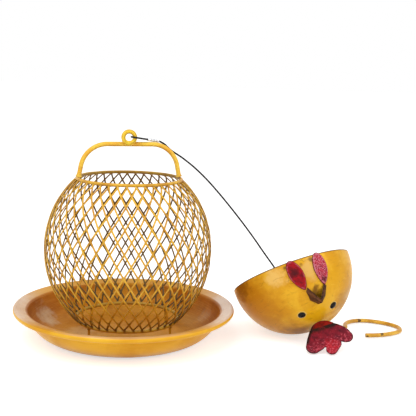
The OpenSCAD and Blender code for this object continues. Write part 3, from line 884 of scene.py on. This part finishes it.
# hook
hook = {
    "eyeWidth": 11.5,
    "stem": 15.6,
    "bends": [[7.8, 35], [26, -98.8], [41.5, -34.7], [18.5, -91.8], [62, -38.2]],  # radius and degrees
    "heading": 50.6,
    "lie": 19.5,
    "drop": 0.15,
    "reach": 72.0,
    "thinner": 0.04,  # leaves room for the ripples
    "endBevel": 0.3,
    "chipsOver": 0.65,  # noise level over which the paint is off
    "bare": [  # place and size
        ((252.7, 40.3, 3.8), 2.5),
        ((263.5, -9.6, 5.1), 2.0),
        ((247.5, -13, 3.5), 1.3),
    ],
    "collar": (0.55, 1.3),  # how far the weld at the eye stands out, and how long it is
    "uneven": 0.05,
    "spacing": 1.4,
    "eyeStations": 96,
    "sides": 28,
}


def makeHook():
    # An eye, a stem and five bends of one wire, lying on the ground, with a bevelled cut at its free end
    h = hook
    farGrip = cableEnds["far"][2]
    eye, wire = h["eyeWidth"] / 2, hookWire / 2
    tilt = math.degrees(math.asin((farGrip[2] - h["drop"] - wire - 0.1) / h["reach"]))
    matrix = turned("Z", h["lie"]) @ turned("Y", tilt)
    middle = farGrip + eye * farAhead - [0, 0, h["drop"]]
    stemTurn = h["heading"] - h["lie"]
    angle, around = roundAngles(h["eyeStations"]), roundAngles(h["sides"])
    ring = eye * stacked(np.cos(angle), np.sin(angle), 0.0)
    ringRadii = np.full((len(angle), len(around)), wire - h["thinner"])
    eyeGrid = placed(tubeAlong(ring, ringRadii, unitRows(ring), loops=True), matrix, middle)
    toStem = np.abs(offBeat(angle - math.radians(stemTurn), 2 * math.pi))
    line = bentLine([[h["stem"] - eye], *h["bends"]], h["spacing"])
    last = h["endBevel"] * unitRows(line[-1] - line[-2])
    line = np.vstack([line[:-1], line[-1] - last, line[-1] - 0.5 * last, line[-1]])
    run = lengthAlong(line)
    stand, size = h["collar"]
    radii = wire - h["thinner"] + stand * hump(run, size) + h["uneven"] * ripples(line, 3, 11)
    radii[-2:] = wire - np.array([0.08, h["endBevel"]])
    stem = placed(placed(line + [eye, 0, 0], turned("Z", stemTurn)), matrix, middle)
    grid = tubeAlong(stem, np.repeat(radii[:, None], len(around), axis=1), matrix[:, 2])
    # painted shade on the wire's underside and just past the weld at the eye
    shade = np.clip(0.55 * ramp01(-np.cos(around), 0.2, 0.9) + 0.5 * hump(run - 2.1, 0.9)[:, None], 0, 1)
    # painted shade on the eye beside the stem
    parts = [tubePart(eyeGrid, loops=True, shade=0.5 * hump(toStem - 0.45, 0.16)[:, None]),
             tubePart(grid, shade=shade)]
    hookGold = goldWire("hookGold", (240, 188, 64), (208, 148, 42), h["chipsOver"], h["bare"])
    addPiece("hangingHook", parts, "hook", ["hanging_hook"], hookGold)


makeHook()

# lid
lid = {
    "radius": 62.0,
    "wall": 1.2,
    "rimDrop": 2.3,
    "hole": 3.4,
    "tip": 31.6,
    "tipWay": -54.2,
    "roll": -63.0,
    "holeAt": (189.7, -14.2),
    "dent": 0.12,
    "dentSize": 60,
    "rings": 92,
    "around": 256,
    "seatGap": 0.2,  # between the dome and what is fixed on it
    "halo": (4.3, 5.1),  # pale round an eye: full out to, gone at
}
lidTones = {
    "bright": (242, 184, 42),
    "deep": (226, 160, 30),
    "ochre": (176, 112, 24),
    "yellow": (250, 204, 72),
    "scratch": (104, 62, 16),
    "halo": (250, 212, 122),  # round the eyes
    "inBright": (214, 152, 40),
    "inDeep": (190, 124, 26),
    "inOchre": (146, 92, 24),
    "rim": (92, 54, 18),
}
lidPatches = [  # place on the dome, full out to, gone at, colour, strength
    ((66, 70), 10, 40, (202, 128, 18), 0.85),
    ((38, 74), 6, 30, (200, 138, 40), 0.75),
    ((16, 60), 4, 22, (146, 90, 12), 0.85),
    ((88, 76), 4, 18, (158, 92, 8), 0.8),
    # painted reflections near the rim
    ((84, 33), 3, 14, (248, 200, 108), 0.9),
    ((80, 3), 3, 14, (234, 186, 100), 0.85),
    # painted shade in the beak's hollow
    ((58, 0), 3, 9, (116, 72, 14), 0.85),
    ((82, -31), 4, 16, (224, 158, 20), 0.7),
    ((46, -56), 6, 24, (196, 144, 62), 0.8),
    ((68, -30), 6, 22, (232, 168, 16), 0.8),
    ((34, 6), 5, 22, (255, 194, 20), 0.9),
    ((88, 23), 0.4, 3.2, (84, 50, 24), 0.7),
    ((87, 8), 0.4, 3.2, (84, 50, 24), 0.7),
    ((88, -2), 0.4, 3.2, (84, 50, 24), 0.7),
    ((41, -44), 3, 13, (202, 142, 40), 0.6),
    ((63, -47), 3, 13, (212, 150, 40), 0.5),
    ((80, -31), 4, 14, (226, 160, 20), 0.5),
]
pupil = {
    "width": 7.6,
    "height": 1.6,
    "down": 40.0,
    "side": 25.3,
    "clear": 0.1,
    "outline": 64,
    "rings": 18,
    "black": (12, 7, 5),
    "brown": (40, 30, 20),
}
lidFrame = turned("Z", lid["tipWay"]) @ turned("Y", 180 - lid["tip"]) @ turned("Z", lid["roll"])
lidRise = lid["radius"] * (1 - math.cos(math.radians(lid["tip"])))
lidMiddle = np.array([*lid["holeAt"], lidRise]) - lid["radius"] * lidFrame[:, 2]
seat = lid["radius"] + lid["seatGap"]


def onDome(down, side):
    # Frame of a place on the dome: down from its top towards the face, then to one side
    return turned("Z", side) @ turned("X", down)


def domeSpot(down, side):
    # Point on the dome's surface
    return (onDome(down, side)[:, 2] * lid["radius"]).tolist()


def addOnLid(name, part, node, material, sharp=60):
    # A piece whose points are given in the lid's own frame
    points, *rest = part
    addPiece(name, [(placed(points, lidFrame, lidMiddle), *rest)], "lid", [node], material, sharp)


def lidPaint():
    # Golden lacquer with clouds, warm brown to one side, yellow patches, ochre bands and curved scratches;
    # among the patches are painted reflections near the rim and painted shade in the beak's hollow
    f = Finish("lidPaint", lidTones, 0.44, metallic=0.1, coat=0.03, coatRoughness=0.3, specular=0.12)
    own = f.kept("own", "Vector")
    cloud = f.between(f.noise(own, 0.045, 4, 0.55, 0.6), 0.36, 0.64)
    tone = f.mixed(cloud, "bright", "deep")
    ragged = f.ragged(own, 0.12, 3, 5)
    for place, inner, outer, colour, strength in lidPatches:
        tone = f.spotted(tone, own, domeSpot(*place), inner, outer, strength, colour,
                         f.times(ragged, min(1, outer / 10)))
    bands = f.noise(f.stretched(own, (0.10, 0.10, 0.42), (0.5, 0.25, 0)), 1.0, 4, 0.6, 0.5)
    tone = f.over(tone, "ochre", bands, 0.56, 0.72, 0, 0.35)
    tone = f.over(tone, "yellow", bands, 0.28, 0.42, 0.25, 0)
    curves = f.noise(f.stretched(own, (0.05, 0.16, 0.05)), 1.0, 2, 0.4, 0.8)
    scratch = f.worked("ABSOLUTE", f.plus(curves, -0.5))
    patchy = f.between(f.noise(own, 0.07, 2), 0.5, 0.62)
    line = f.times(f.between(scratch, 0.002, 0.006, 0.6, 0), patchy)
    tone = f.mixed(line, tone, "scratch")
    for side in (pupil["side"], -pupil["side"]):
        tone = f.spotted(tone, own, domeSpot(pupil["down"], side), *lid["halo"], 0.7, "halo",
                         f.ragged(own, 0.5, 2, 0.4))
    inTone = f.mixed(f.between(bands, 0.5, 0.72, 0, 0.5), f.mixed(cloud, "inBright", "inDeep"), "inOchre")
    tone = f.mixed(f.kept("rim"), f.mixed(f.kept("outside"), inTone, tone), "rim")
    f.dulled(cloud, 0.28, 0.42)
    return f.finished(tone, f.plus(f.noise(own, 0.35, 4), f.times(line, -0.5)), 0.2, 0.0004)


def makeLid():
    # Shell of a little more than half a ball: the outside from the hole to the rim, a rounded rim, the
    # inside back to the hole, and the hole's own edge. Slow ripples dent both sides by the same depth.
    outer, inner = lid["radius"], lid["radius"] - lid["wall"]
    toHole = math.degrees(math.asin(lid["hole"] / 2 / outer))
    toRim = 90 + math.degrees(math.asin(lid["rimDrop"] / outer))
    down = np.linspace(toHole + 0.6, toRim - 0.35, lid["rings"])
    down = joined([toHole, toHole + 0.25], down)
    turnIn = np.linspace(0, math.pi, 7)[1:-1]
    rimR = (outer + inner) / 2 + lid["wall"] / 2 * np.cos(turnIn)
    rimAngle = toRim - 0.3 + 0.3 * np.sin(turnIn)
    angleDown = joined(down, rimAngle, down[::-1], np.full(3, toHole - 0.02))
    radius = joined(np.full(len(down), outer), rimR, np.full(len(down), inner),
                    np.linspace(inner + 0.15, outer - 0.15, 3))
    radius[0] -= 0.12  # the hole's two edges are rounded
    radius[-4] += 0.12
    a, around = np.radians(angleDown)[:, None], roundAngles(lid["around"])
    way = stacked(np.sin(a) * np.cos(around), np.sin(a) * np.sin(around), np.cos(a))
    dent = np.minimum(lid["dent"] * ripples(way * outer, 21, lid["dentSize"]), 0.1) - 0.1
    grid = way * radius[:, None, None] + dent[..., None] * way * ramp01(a, 0.1, 0.3)[..., None]
    part = tubePart(grid, loops=True, flip=True, own=grid,
                    rim=ramp01(angleDown, toRim - 0.9, toRim - 0.3)[:, None],
                    outside=ramp01(radius, inner + 0.3, outer - 0.3)[:, None])
    addOnLid("lidDome", part, "lid_dome", lidPaint(), sharp=45)


makeLid()


# pieces on the lid
def plate(outline, middle, rings, matrix, shape):
    # A plate with a top, a rounded edge and a back. Rings shrink the outline towards its middle, and
    # shape(x, y, t) gives the top's and the back's points, where t is 0 at the middle and 1 at the edge.
    t = np.linspace(0, 1, rings + 1) ** 0.8
    flat = middle + t[:, None, None] * (outline - middle)
    x, y = flat[..., 0], flat[..., 1]
    top, back = shape(x, y, np.broadcast_to(t[:, None], x.shape))
    grid = placed(joined(top, back[::-1]), matrix)
    own = joined(stacked(x, y, 0.0), stacked(x, y, -1.0)[::-1])
    return domePart(grid, flip=True, own=own, edge=joined(t, t[::-1])[:, None])


wattle = {
    "width": 14.6,
    "length": 32.0,
    "thickness": 1.8,
    "widest": 0.47,  # share of the length from the rim end to the widest place
    "rimPowers": (2, 0.5),  # half an ellipse
    "beakPowers": (1.6, 0.7),
    "middle": (0.0, -1.5),
    "rimHeight": 0.5,  # how far the raised border stands over the middle
    "hammer": 0.12,
    "outline": 96,
    "rings": 26,
    "down": 78.2,
    "spot": (48, 8, 14),
    "smudge": (70, 12, 20),
    "edge": (60, 8, 18),
}
leftWattle = {
    "side": 15.0,
    "lean": 12.8,
    "seed": 41,
    "base": (178, 12, 26),
    "dark": (112, 8, 20),
    "pale": (210, 96, 112),
    "paleShare": 0.31,
    "smudgeAt": (1, -4, 0),
    "smudgeSize": 6,
}
rightWattle = {
    "side": -8.6,
    "lean": 2.5,
    "seed": 43,
    "base": (192, 36, 58),
    "dark": (140, 20, 42),
    "pale": (226, 138, 152),
    "paleShare": 0.5,
    "smudgeAt": (0, 11, 0),
    "smudgeSize": 4,
}


def wattleOutline():
    # Egg: at a share s of the way from the widest place to an end, the half width is the widest one times
    # one minus s to a first power, all of that to a second power
    w, long = wattle["width"], wattle["length"]
    rimPart = wattle["widest"] * long
    s = np.sin(np.linspace(0, math.pi / 2, 80))
    rimHalf, beakHalf = [w / 2 * np.clip(1 - s ** first, 0, 1) ** second
                         for first, second in (wattle["rimPowers"], wattle["beakPowers"])]
    right = joined(stacked(rimHalf, -rimPart * s)[:0:-1], stacked(beakHalf, (long - rimPart) * s))
    outline = joined(right, right[-2:0:-1] * [-1, 1])
    return closedOutline(outline + [0, rimPart - long / 2], wattle["outline"])


def wattlePaint(name, facts):
    # Brushed crimson enamel over hammered metal: dark spots and smudge, a paler raised border that is a
    # painted highlight, pale flecks
    f = Finish(name, {**wattle, **facts}, 0.42, coat=0.04, coatRoughness=0.2, specular=0.15)
    own = f.kept("own", "Vector")
    edge = f.kept("edge")
    tone = f.mixed(f.between(f.noise(own, 0.22, 4, 0.6), 0.35, 0.66), "base", "dark")
    fleck = f.between(f.noise(own, 0.75, 4, 0.7), 1 - facts["paleShare"], 1.06 - facts["paleShare"])
    tone = f.mixed(f.times(fleck, 0.75), tone, "pale")
    tone = f.mixed(f.times(f.between(f.noise(own, 0.5, 3), 0.66, 0.72), 0.8), tone, "spot")
    size = facts["smudgeSize"]
    tone = f.spotted(tone, own, facts["smudgeAt"], 0.4 * size, size, 0.8, "smudge",
                     f.ragged(own, 0.45, 4, 3))
    # painted highlight along the raised border
    border = f.times(f.between(edge, 0.78, 0.88), f.between(edge, 0.98, 0.92))
    border = f.times(border, f.between(f.noise(own, 0.22, 3), 0.42, 0.62, 0.05, 0.8))
    tone = f.mixed(border, tone, "pale")
    tone = f.over(tone, "edge", edge, 0.965, 0.995)
    return f.finished(tone, f.plus(f.noise(own, 0.8, 4), f.times(f.cells(own, 0.35), 0.8)), 0.35, 0.0005)


def makeWattle(name, node, facts, material):
    # The outline lies on the dome. The top bulges a little, with a raised border and hammer marks.
    w, thickness = wattle, wattle["thickness"]

    def shape(x, y, t):
        border = w["rimHeight"] * hump(t - 0.84, 0.12)
        hammered = w["hammer"] * ripples(stacked(x, y, 0.0), facts["seed"], 5.5) * (1 - t ** 6)
        rounding = np.sqrt(np.clip(1 - ramp01(t, 0.86, 1.0) ** 2 * 0.75, 0, 1))
        high = np.clip((thickness - 0.55 - 0.3 * t ** 2 + border + hammered) * rounding, 0.3, thickness)
        top, back = (np.sqrt(radius ** 2 - x * x - y * y) for radius in (seat + high, seat))
        return stacked(x, y, top), stacked(x, y, back)

    matrix = onDome(w["down"], facts["side"]) @ turned("Z", facts["lean"])
    part = plate(wattleOutline(), np.array(w["middle"]), w["rings"], matrix, shape)
    addOnLid(name, part, node, material)


makeWattle("wattleLeft", "wattle_left", leftWattle, wattlePaint("wattleCrimson", leftWattle))
makeWattle("wattleRight", "wattle_right", rightWattle, wattlePaint("wattlePink", rightWattle))

beak = {
    "width": 25.0,
    "out": 9.0,
    "sheet": 2.2,
    "down": 56.0,
    "back": -8.0,
    "front": 12.3,
    "shoulder": (0.8, 4),  # share of the half width, and how far forward
    "tip": 5.5,
    "softening": 31,  # steps of a tenth of a millimetre
    "along": 64,
    "up": 22,
    "outBrown": (112, 66, 34),
    "outDark": (70, 38, 20),
    # painted shade inside the beak
    "inBrown": (44, 28, 14),
    "inDark": (24, 14, 8),
    "shadedArm": (36, 20, 10),
    "edge": (150, 96, 64),
}


def beakPaint():
    # Brown paint over a folded sheet: lighter along its worn edge, and painted shade that darkens it inside
    # and on one arm
    f = Finish("beakPaint", beak, 0.5, coat=0.02, coatRoughness=0.3, specular=0.08)
    own = f.kept("own", "Vector")
    cloud = f.between(f.noise(own, 0.16, 4, 0.6), 0.35, 0.66)
    arm = f.parts(own)["X"]
    outTone = f.mixed(f.between(arm, 0.5, -2.5, 0, 0.9), f.mixed(cloud, "outBrown", "outDark"), "shadedArm")
    # painted shade on the inner faces
    tone = f.mixed(f.kept("inside"), outTone, f.mixed(cloud, "inBrown", "inDark"))
    wearAndSheen = f.between(f.noise(own, 0.4, 3), 0.36, 0.62, 0.05, 0.45)
    tone = f.mixed(f.times(f.kept("edge"), wearAndSheen), tone, "edge")
    return f.finished(tone, f.noise(own, 0.6, 4), 0.3, 0.0004)


def beakSheet(inset):
    # Fan of straight lines from the feet of the sheet up to its point. The five corners of the feet are
    # joined by a line with softened corners, and each line starts where it leaves the dome.
    x = beak["width"] / 2 + 0.5 - inset
    back = beak["back"] - 2 * inset
    share, forward = beak["shoulder"]
    feet = np.array([[x, back], [x * share, forward], [0, beak["front"] - 1.5 * inset],
                     [-x * share, forward], [-x, back]])
    feet = spread(stacked(*feet.T, lid["radius"] - 3), 0.1)
    window = np.hanning(beak["softening"])
    padded = np.pad(feet, [(len(window) // 2,) * 2, (0, 0)], mode="edge")
    soft = stacked(*(np.convolve(column, window / window.sum(), "valid") for column in padded.T))
    soft[0], soft[-1] = feet[0], feet[-1]
    feet = spread(soft, lengthAlong(soft)[-1] / beak["along"])[:beak["along"] + 1]
    reach = [0, beak["tip"] - 1.3 * inset, lid["radius"] + beak["out"] - inset] - feet
    a = (reach ** 2).sum(-1)
    b = 2 * (reach * feet).sum(-1)
    c = (feet ** 2).sum(-1) - seat ** 2
    start = (-b + np.sqrt(np.maximum(b * b - 4 * a * c, 0))) / (2 * a)
    t = start[:, None] + (1 - start[:, None]) * np.linspace(0, 1, beak["up"])
    return feet[:, None] + t[..., None] * reach[:, None]


def makeBeak():
    # An outer sheet, an inner one, and strips that close the edges between them
    sheets = np.stack([beakSheet(0), beakSheet(beak["sheet"])])
    rows, columns = sheets.shape[1:3]
    outer = gridQuads(rows, columns, columnsClose=False)
    index = np.arange(2 * rows * columns).reshape(2, rows, columns)

    def strip(first, second):
        return stacked(first[:-1], first[1:], second[1:], second[:-1])

    quads = joined(
        outer,
        outer[:, ::-1] + rows * columns,
        strip(index[1, :, 0], index[0, :, 0])[:, ::-1],
        strip(index[1, 0], index[0, 0]),
        strip(index[0, -1], index[1, -1]),
    )
    s = np.linspace(0, 1, rows)[:, None]
    edge = np.maximum(1 - ramp01(s, 0.0, 0.05), ramp01(s, 0.95, 1.0)) * np.ones(columns)
    points = placed(placed(sheets, onDome(beak["down"], 0)), lidFrame, lidMiddle)
    values = {"own": sheets, "inside": index // (rows * columns), "edge": np.stack([edge, edge * 0.7])}
    piece = addPiece("beakSheet", [(points, quads, [], values)], "lid", ["beak"], beakPaint(),
                     sharp=35)
    work = bmesh.new()
    work.from_mesh(piece.data)
    bmesh.ops.remove_doubles(work, verts=work.verts, dist=2e-6)
    bmesh.ops.dissolve_degenerate(work, edges=work.edges, dist=1e-6)
    bmesh.ops.recalc_face_normals(work, faces=work.faces)
    work.to_mesh(piece.data)
    work.free()


makeBeak()


def eyeBlack():
    # Glossy black enamel, faintly uneven, with worn brown places
    f = Finish("eyeBlack", pupil, 0.3, coat=0.03, coatRoughness=0.12, specular=0.14)
    own = f.kept("own", "Vector")
    wearAndSheen = f.between(f.noise(own, 0.9, 4), 0.5, 0.75)
    f.dulled(wearAndSheen, 0.2, 0.4)
    return f.finished(f.mixed(wearAndSheen, "black", "brown"), f.noise(own, 1.6, 3), 0.12)


def makePupil(name, node, side, material):
    # Low dome like a rivet's head: steep at its edge and flat on top, on a flat back
    half, high = pupil["width"] / 2, pupil["height"]
    ballR = (half * half + high * high) / (2 * high)
    base = lid["radius"] + pupil["clear"]
    angle = roundAngles(pupil["outline"])

    def shape(x, y, t):
        lift = np.sqrt(np.maximum(ballR ** 2 - x * x - y * y, 0)) - (ballR - high)
        top = np.minimum(base + np.clip(lift, 0.08, high) + 0.12 * (1 - t), base + high)
        return stacked(x, y, top), stacked(x, y, base)

    outline = half * stacked(np.cos(angle), np.sin(angle))
    part = plate(outline, np.zeros(2), pupil["rings"], onDome(pupil["down"], side), shape)
    addOnLid(name, part, node, material)


pupilBlack = eyeBlack()
makePupil("eyeLeft", "eye_left", pupil["side"], pupilBlack)
makePupil("eyeRight", "eye_right", -pupil["side"], pupilBlack)

comb = {
    "thickness": 1.4,
    "tab": 6.5,
    "tabMiddle": 0.6,
    "tabRadius": 16.2,
    "fold": (-12.2, 14.0),
    "bend": 6.0,
    "middle": (1.0, 12.0),
    "lobes": [((14, 17.6, 7.2), (19.7, 19.3, 7.0)), ((-1.8, 21.8, 7.0), (4, 28, 5.5)),
              ((-12, 16, 6.6), (-16, 18.4, 7.1))],  # inner and outer circle of each
    "sides": [(-12.2, 0), (14, 0), (18.3, 5.1), (21.8, 9.6), (24.6, 14), (26, 17.4), (19.7, 22), (1, 24),
              (-14, 22), (-22.5, 16.8), (-22.2, 13.4), (-20.8, 9.7), (-18.3, 5.8), (-15.4, 2.6)],
    "down": 22.0,
    "shift": -2.5,
    "hammer": 0.10,
    "directions": 1440,
    "outline": 240,
    "rings": 30,
    "redAt": (2, 26, 0),
}
combTones = {
    "maroon": (138, 24, 42),
    "wine": (98, 14, 32),
    "red": (190, 28, 42),
    "pink": (214, 92, 108),
    "spot": (44, 8, 20),
    "tabBright": (158, 20, 6),
    "tabDeep": (108, 10, 6),
    # painted shade: black in the fold and down one side
    "fold": (34, 20, 14),
    "side": (20, 8, 10),
    "edge": (48, 8, 16),
}


def combOutline(middle):
    # Edge of the plate and its tab: along each direction from the middle, the furthest of the circles that
    # fill the lobes, the plate's straight sides, and the tab's circle under the fold
    c = comb
    angle = roundAngles(c["directions"])
    way = stacked(np.cos(angle), np.sin(angle))

    def circleReach(x, y, radius):
        off = middle - [x, y]
        b = way @ off
        inner = b * b - off @ off + radius * radius
        return np.where(inner > 0, -b + np.sqrt(np.maximum(inner, 0)), 0)

    corners = np.array(c["sides"], float)
    along = np.roll(corners, -1, axis=0) - corners
    outwards = stacked(along[:, 1], -along[:, 0])
    toSide = way @ outwards.T
    ahead = toSide > 1e-9
    gap = ((corners - middle) * outwards).sum(-1)
    reach = np.where(ahead, gap / np.where(ahead, toSide, 1), 1e9).min(-1)
    tabReach = circleReach(c["tabMiddle"], c["tabRadius"] - c["tab"], c["tabRadius"])
    x, y = (middle + tabReach[:, None] * way).T
    under = (y < 0) & (x > c["fold"][0]) & (x < c["fold"][1])
    step = np.linspace(0, 1, 9)[:, None]
    circles = np.concatenate([(1 - step) * inner + step * outer for inner, outer in np.array(c["lobes"])])
    reaches = [circleReach(*circle) for circle in circles] + [reach, np.where(under, tabReach, 0)]
    return closedOutline(middle + np.max(reaches, axis=0)[:, None] * way, c["outline"])


def combPaint():
    # Red enamel on a hammered plate: a bright tab, painted shade in black in the fold and down one side, a
    # maroon body with pink flecks that lie thicker towards the lobes, and a redder middle lobe
    f = Finish("combPaint", combTones, 0.44, coat=0.03, coatRoughness=0.22, specular=0.14)
    own = f.kept("own", "Vector")
    x, y, _ = f.parts(own)
    edge = f.kept("edge")
    cloud = f.between(f.noise(own, 0.16, 4, 0.6), 0.36, 0.66)
    redder = f.between(f.gapTo(own, comb["redAt"]), 5, 13, 0.85, 0)
    redder = f.times(redder, f.between(cloud, 0, 1, 1, 0.5))
    tone = f.mixed(redder, f.mixed(cloud, "maroon", "wine"), "red")
    more = f.between(y, 6, 24, -0.05, 0.07)
    fleck = f.between(f.plus(f.noise(own, 0.42, 5, 0.68), more), 0.55, 0.66, 0, 0.7)
    tone = f.mixed(fleck, tone, "pink")
    tone = f.over(tone, "spot", f.noise(own, 0.33, 3), 0.62, 0.72, 0, 0.85)
    tone = f.mixed(f.between(y, 1.2, -0.4), tone, f.mixed(cloud, "tabBright", "tabDeep"))
    # painted shade in the fold
    fold = f.times(f.between(y, -0.8, 0.5), f.between(y, 5.6, 2.4))
    fold = f.times(fold, f.between(f.noise(own, 0.2, 4, 0.6), 0.36, 0.52, 0.35, 0.95))
    tone = f.mixed(fold, tone, "fold")
    # painted shade down one side
    side = f.times(f.between(edge, 0.80, 0.92), f.between(x, 7, 12))
    side = f.times(side, f.between(y, 17, 12, 0, 0.9))
    tone = f.mixed(side, tone, "side")
    tone = f.over(tone, "edge", edge, 0.95, 0.985, 0, 0.85)
    return f.finished(tone, f.plus(f.noise(own, 0.5, 4), f.times(f.cells(own, 0.28), 1.2)), 0.45, 0.0006)


def makeComb():
    # The flat outline is bent at the fold: the tab goes straight down to the dome, and the plate leans
    # forward. Both faces are hammered by the same ripples, so the sheet keeps its thickness.
    c = comb
    middle = np.array(c["middle"])
    lean = math.radians(c["bend"])
    thick = c["thickness"] / 2
    base = np.array([c["shift"], -thick, seat + c["tab"]])
    normal = np.array([0, -math.cos(lean / 2), -math.sin(lean / 2)])

    def shape(x, y, t):
        forward = 0.5 * (y + np.sqrt(y * y + 1.2))
        dent = c["hammer"] * ripples(stacked(x, y, 0.0), 51, 6.5) * ramp01(y, 1, 5)
        half = (thick - 0.02) * np.sqrt(np.clip(1 - ramp01(t, 0.945, 1.0) ** 2 * 0.7, 0, 1))
        place = base + stacked(x, -math.sin(lean) * forward, y * np.where(y > 0, math.cos(lean), 1))
        return (place + np.minimum(half + dent, thick + 0.1)[..., None] * normal,
                place - (half - dent)[..., None] * normal)

    part = plate(combOutline(middle), middle, c["rings"], onDome(c["down"], 0), shape)
    addOnLid("combPlate", part, "comb", combPaint())


makeComb()
print("pieces made")

# floor, light and view
studio = {
    "world": 0.62,
    "lamps": {  # power, place and size
        "keyLight": (9.0, (-0.55, -0.75, 1.35), 1.1),
        "fillLight": (4.0, (1.0, -0.7, 0.9), 0.9),
    },
    "target": (0.06, 0, 0.08),
    "white": (1, 1, 1, 1),
    "floorLight": (238.61, 238.61, 238.61),
    "floorGrey": (236.15, 236.15, 236.15),
    "floorGlow": 0.62,  # added for the camera and in reflections only
    "floorSize": 9.0,
    "floorDrop": 0.00015,  # metres under the object
}


def makeWorld():
    # Plain light, and white where the camera, a reflection or a clear surface sees the world itself
    world = bpy.data.worlds.new("paleWorld")
    bpy.context.scene.world = world
    world.use_nodes = True
    tree = world.node_tree
    plain = tree.nodes["Background"]
    plain.inputs["Color"].default_value = studio["white"]
    plain.inputs["Strength"].default_value = studio["world"]
    white = addNode(tree, "ShaderNodeBackground", {"Color": studio["white"], "Strength": 1.0})
    rays = addNode(tree, "ShaderNodeLightPath").outputs
    seen = rays["Is Camera Ray"]
    for ray in ("Is Glossy Ray", "Is Transmission Ray"):
        seen = addNode(tree, "ShaderNodeMath", {0: seen, 1: rays[ray]}, operation="MAXIMUM").outputs[0]
    mix = addNode(tree, "ShaderNodeMixShader", {0: seen, 1: plain.outputs[0], 2: white.outputs[0]})
    tree.links.new(mix.outputs[0], tree.nodes["World Output"].inputs[0])


def makeFloor():
    # One pale square
    f = Finish("floorWhite", studio, 0.9, specular=0.1)
    f.toShader("Base Color", f.mixed(f.noise(f.place(), 3.0, 2), "floorLight", "floorGrey"))
    rays = f.put("ShaderNodeLightPath")
    seen = f.worked("MAXIMUM", rays["Is Camera Ray"], rays["Is Glossy Ray"])
    f.shader.inputs["Emission Color"].default_value = studio["white"]
    f.toShader("Emission Strength", f.times(seen, studio["floorGlow"]))
    mesh = bpy.data.meshes.new("studioFloor")
    far, low = studio["floorSize"], -studio["floorDrop"]
    corners = [(-far, -far, low), (far, -far, low), (far, far, low), (-far, far, low)]
    mesh.from_pydata(corners, [], [(0, 1, 2, 3)])
    mesh.materials.append(f.material)
    addObject("studioFloor", mesh)


def makeLamps():
    # Two square lamps that point at the object
    for name, (power, place, size) in studio["lamps"].items():
        data = bpy.data.lights.new(name, "AREA")
        data.shape = "SQUARE"
        data.size = size
        data.energy = power
        lamp = addObject(name, data)
        lamp.location = place
        lamp.rotation_euler = (Vector(studio["target"]) - lamp.location).to_track_quat("-Z", "Y").to_euler()


makeWorld()
makeFloor()
makeLamps()
bpy.context.scene.view_settings.view_transform = "Standard"
print("studio made")

bpy.context.view_layer.update()
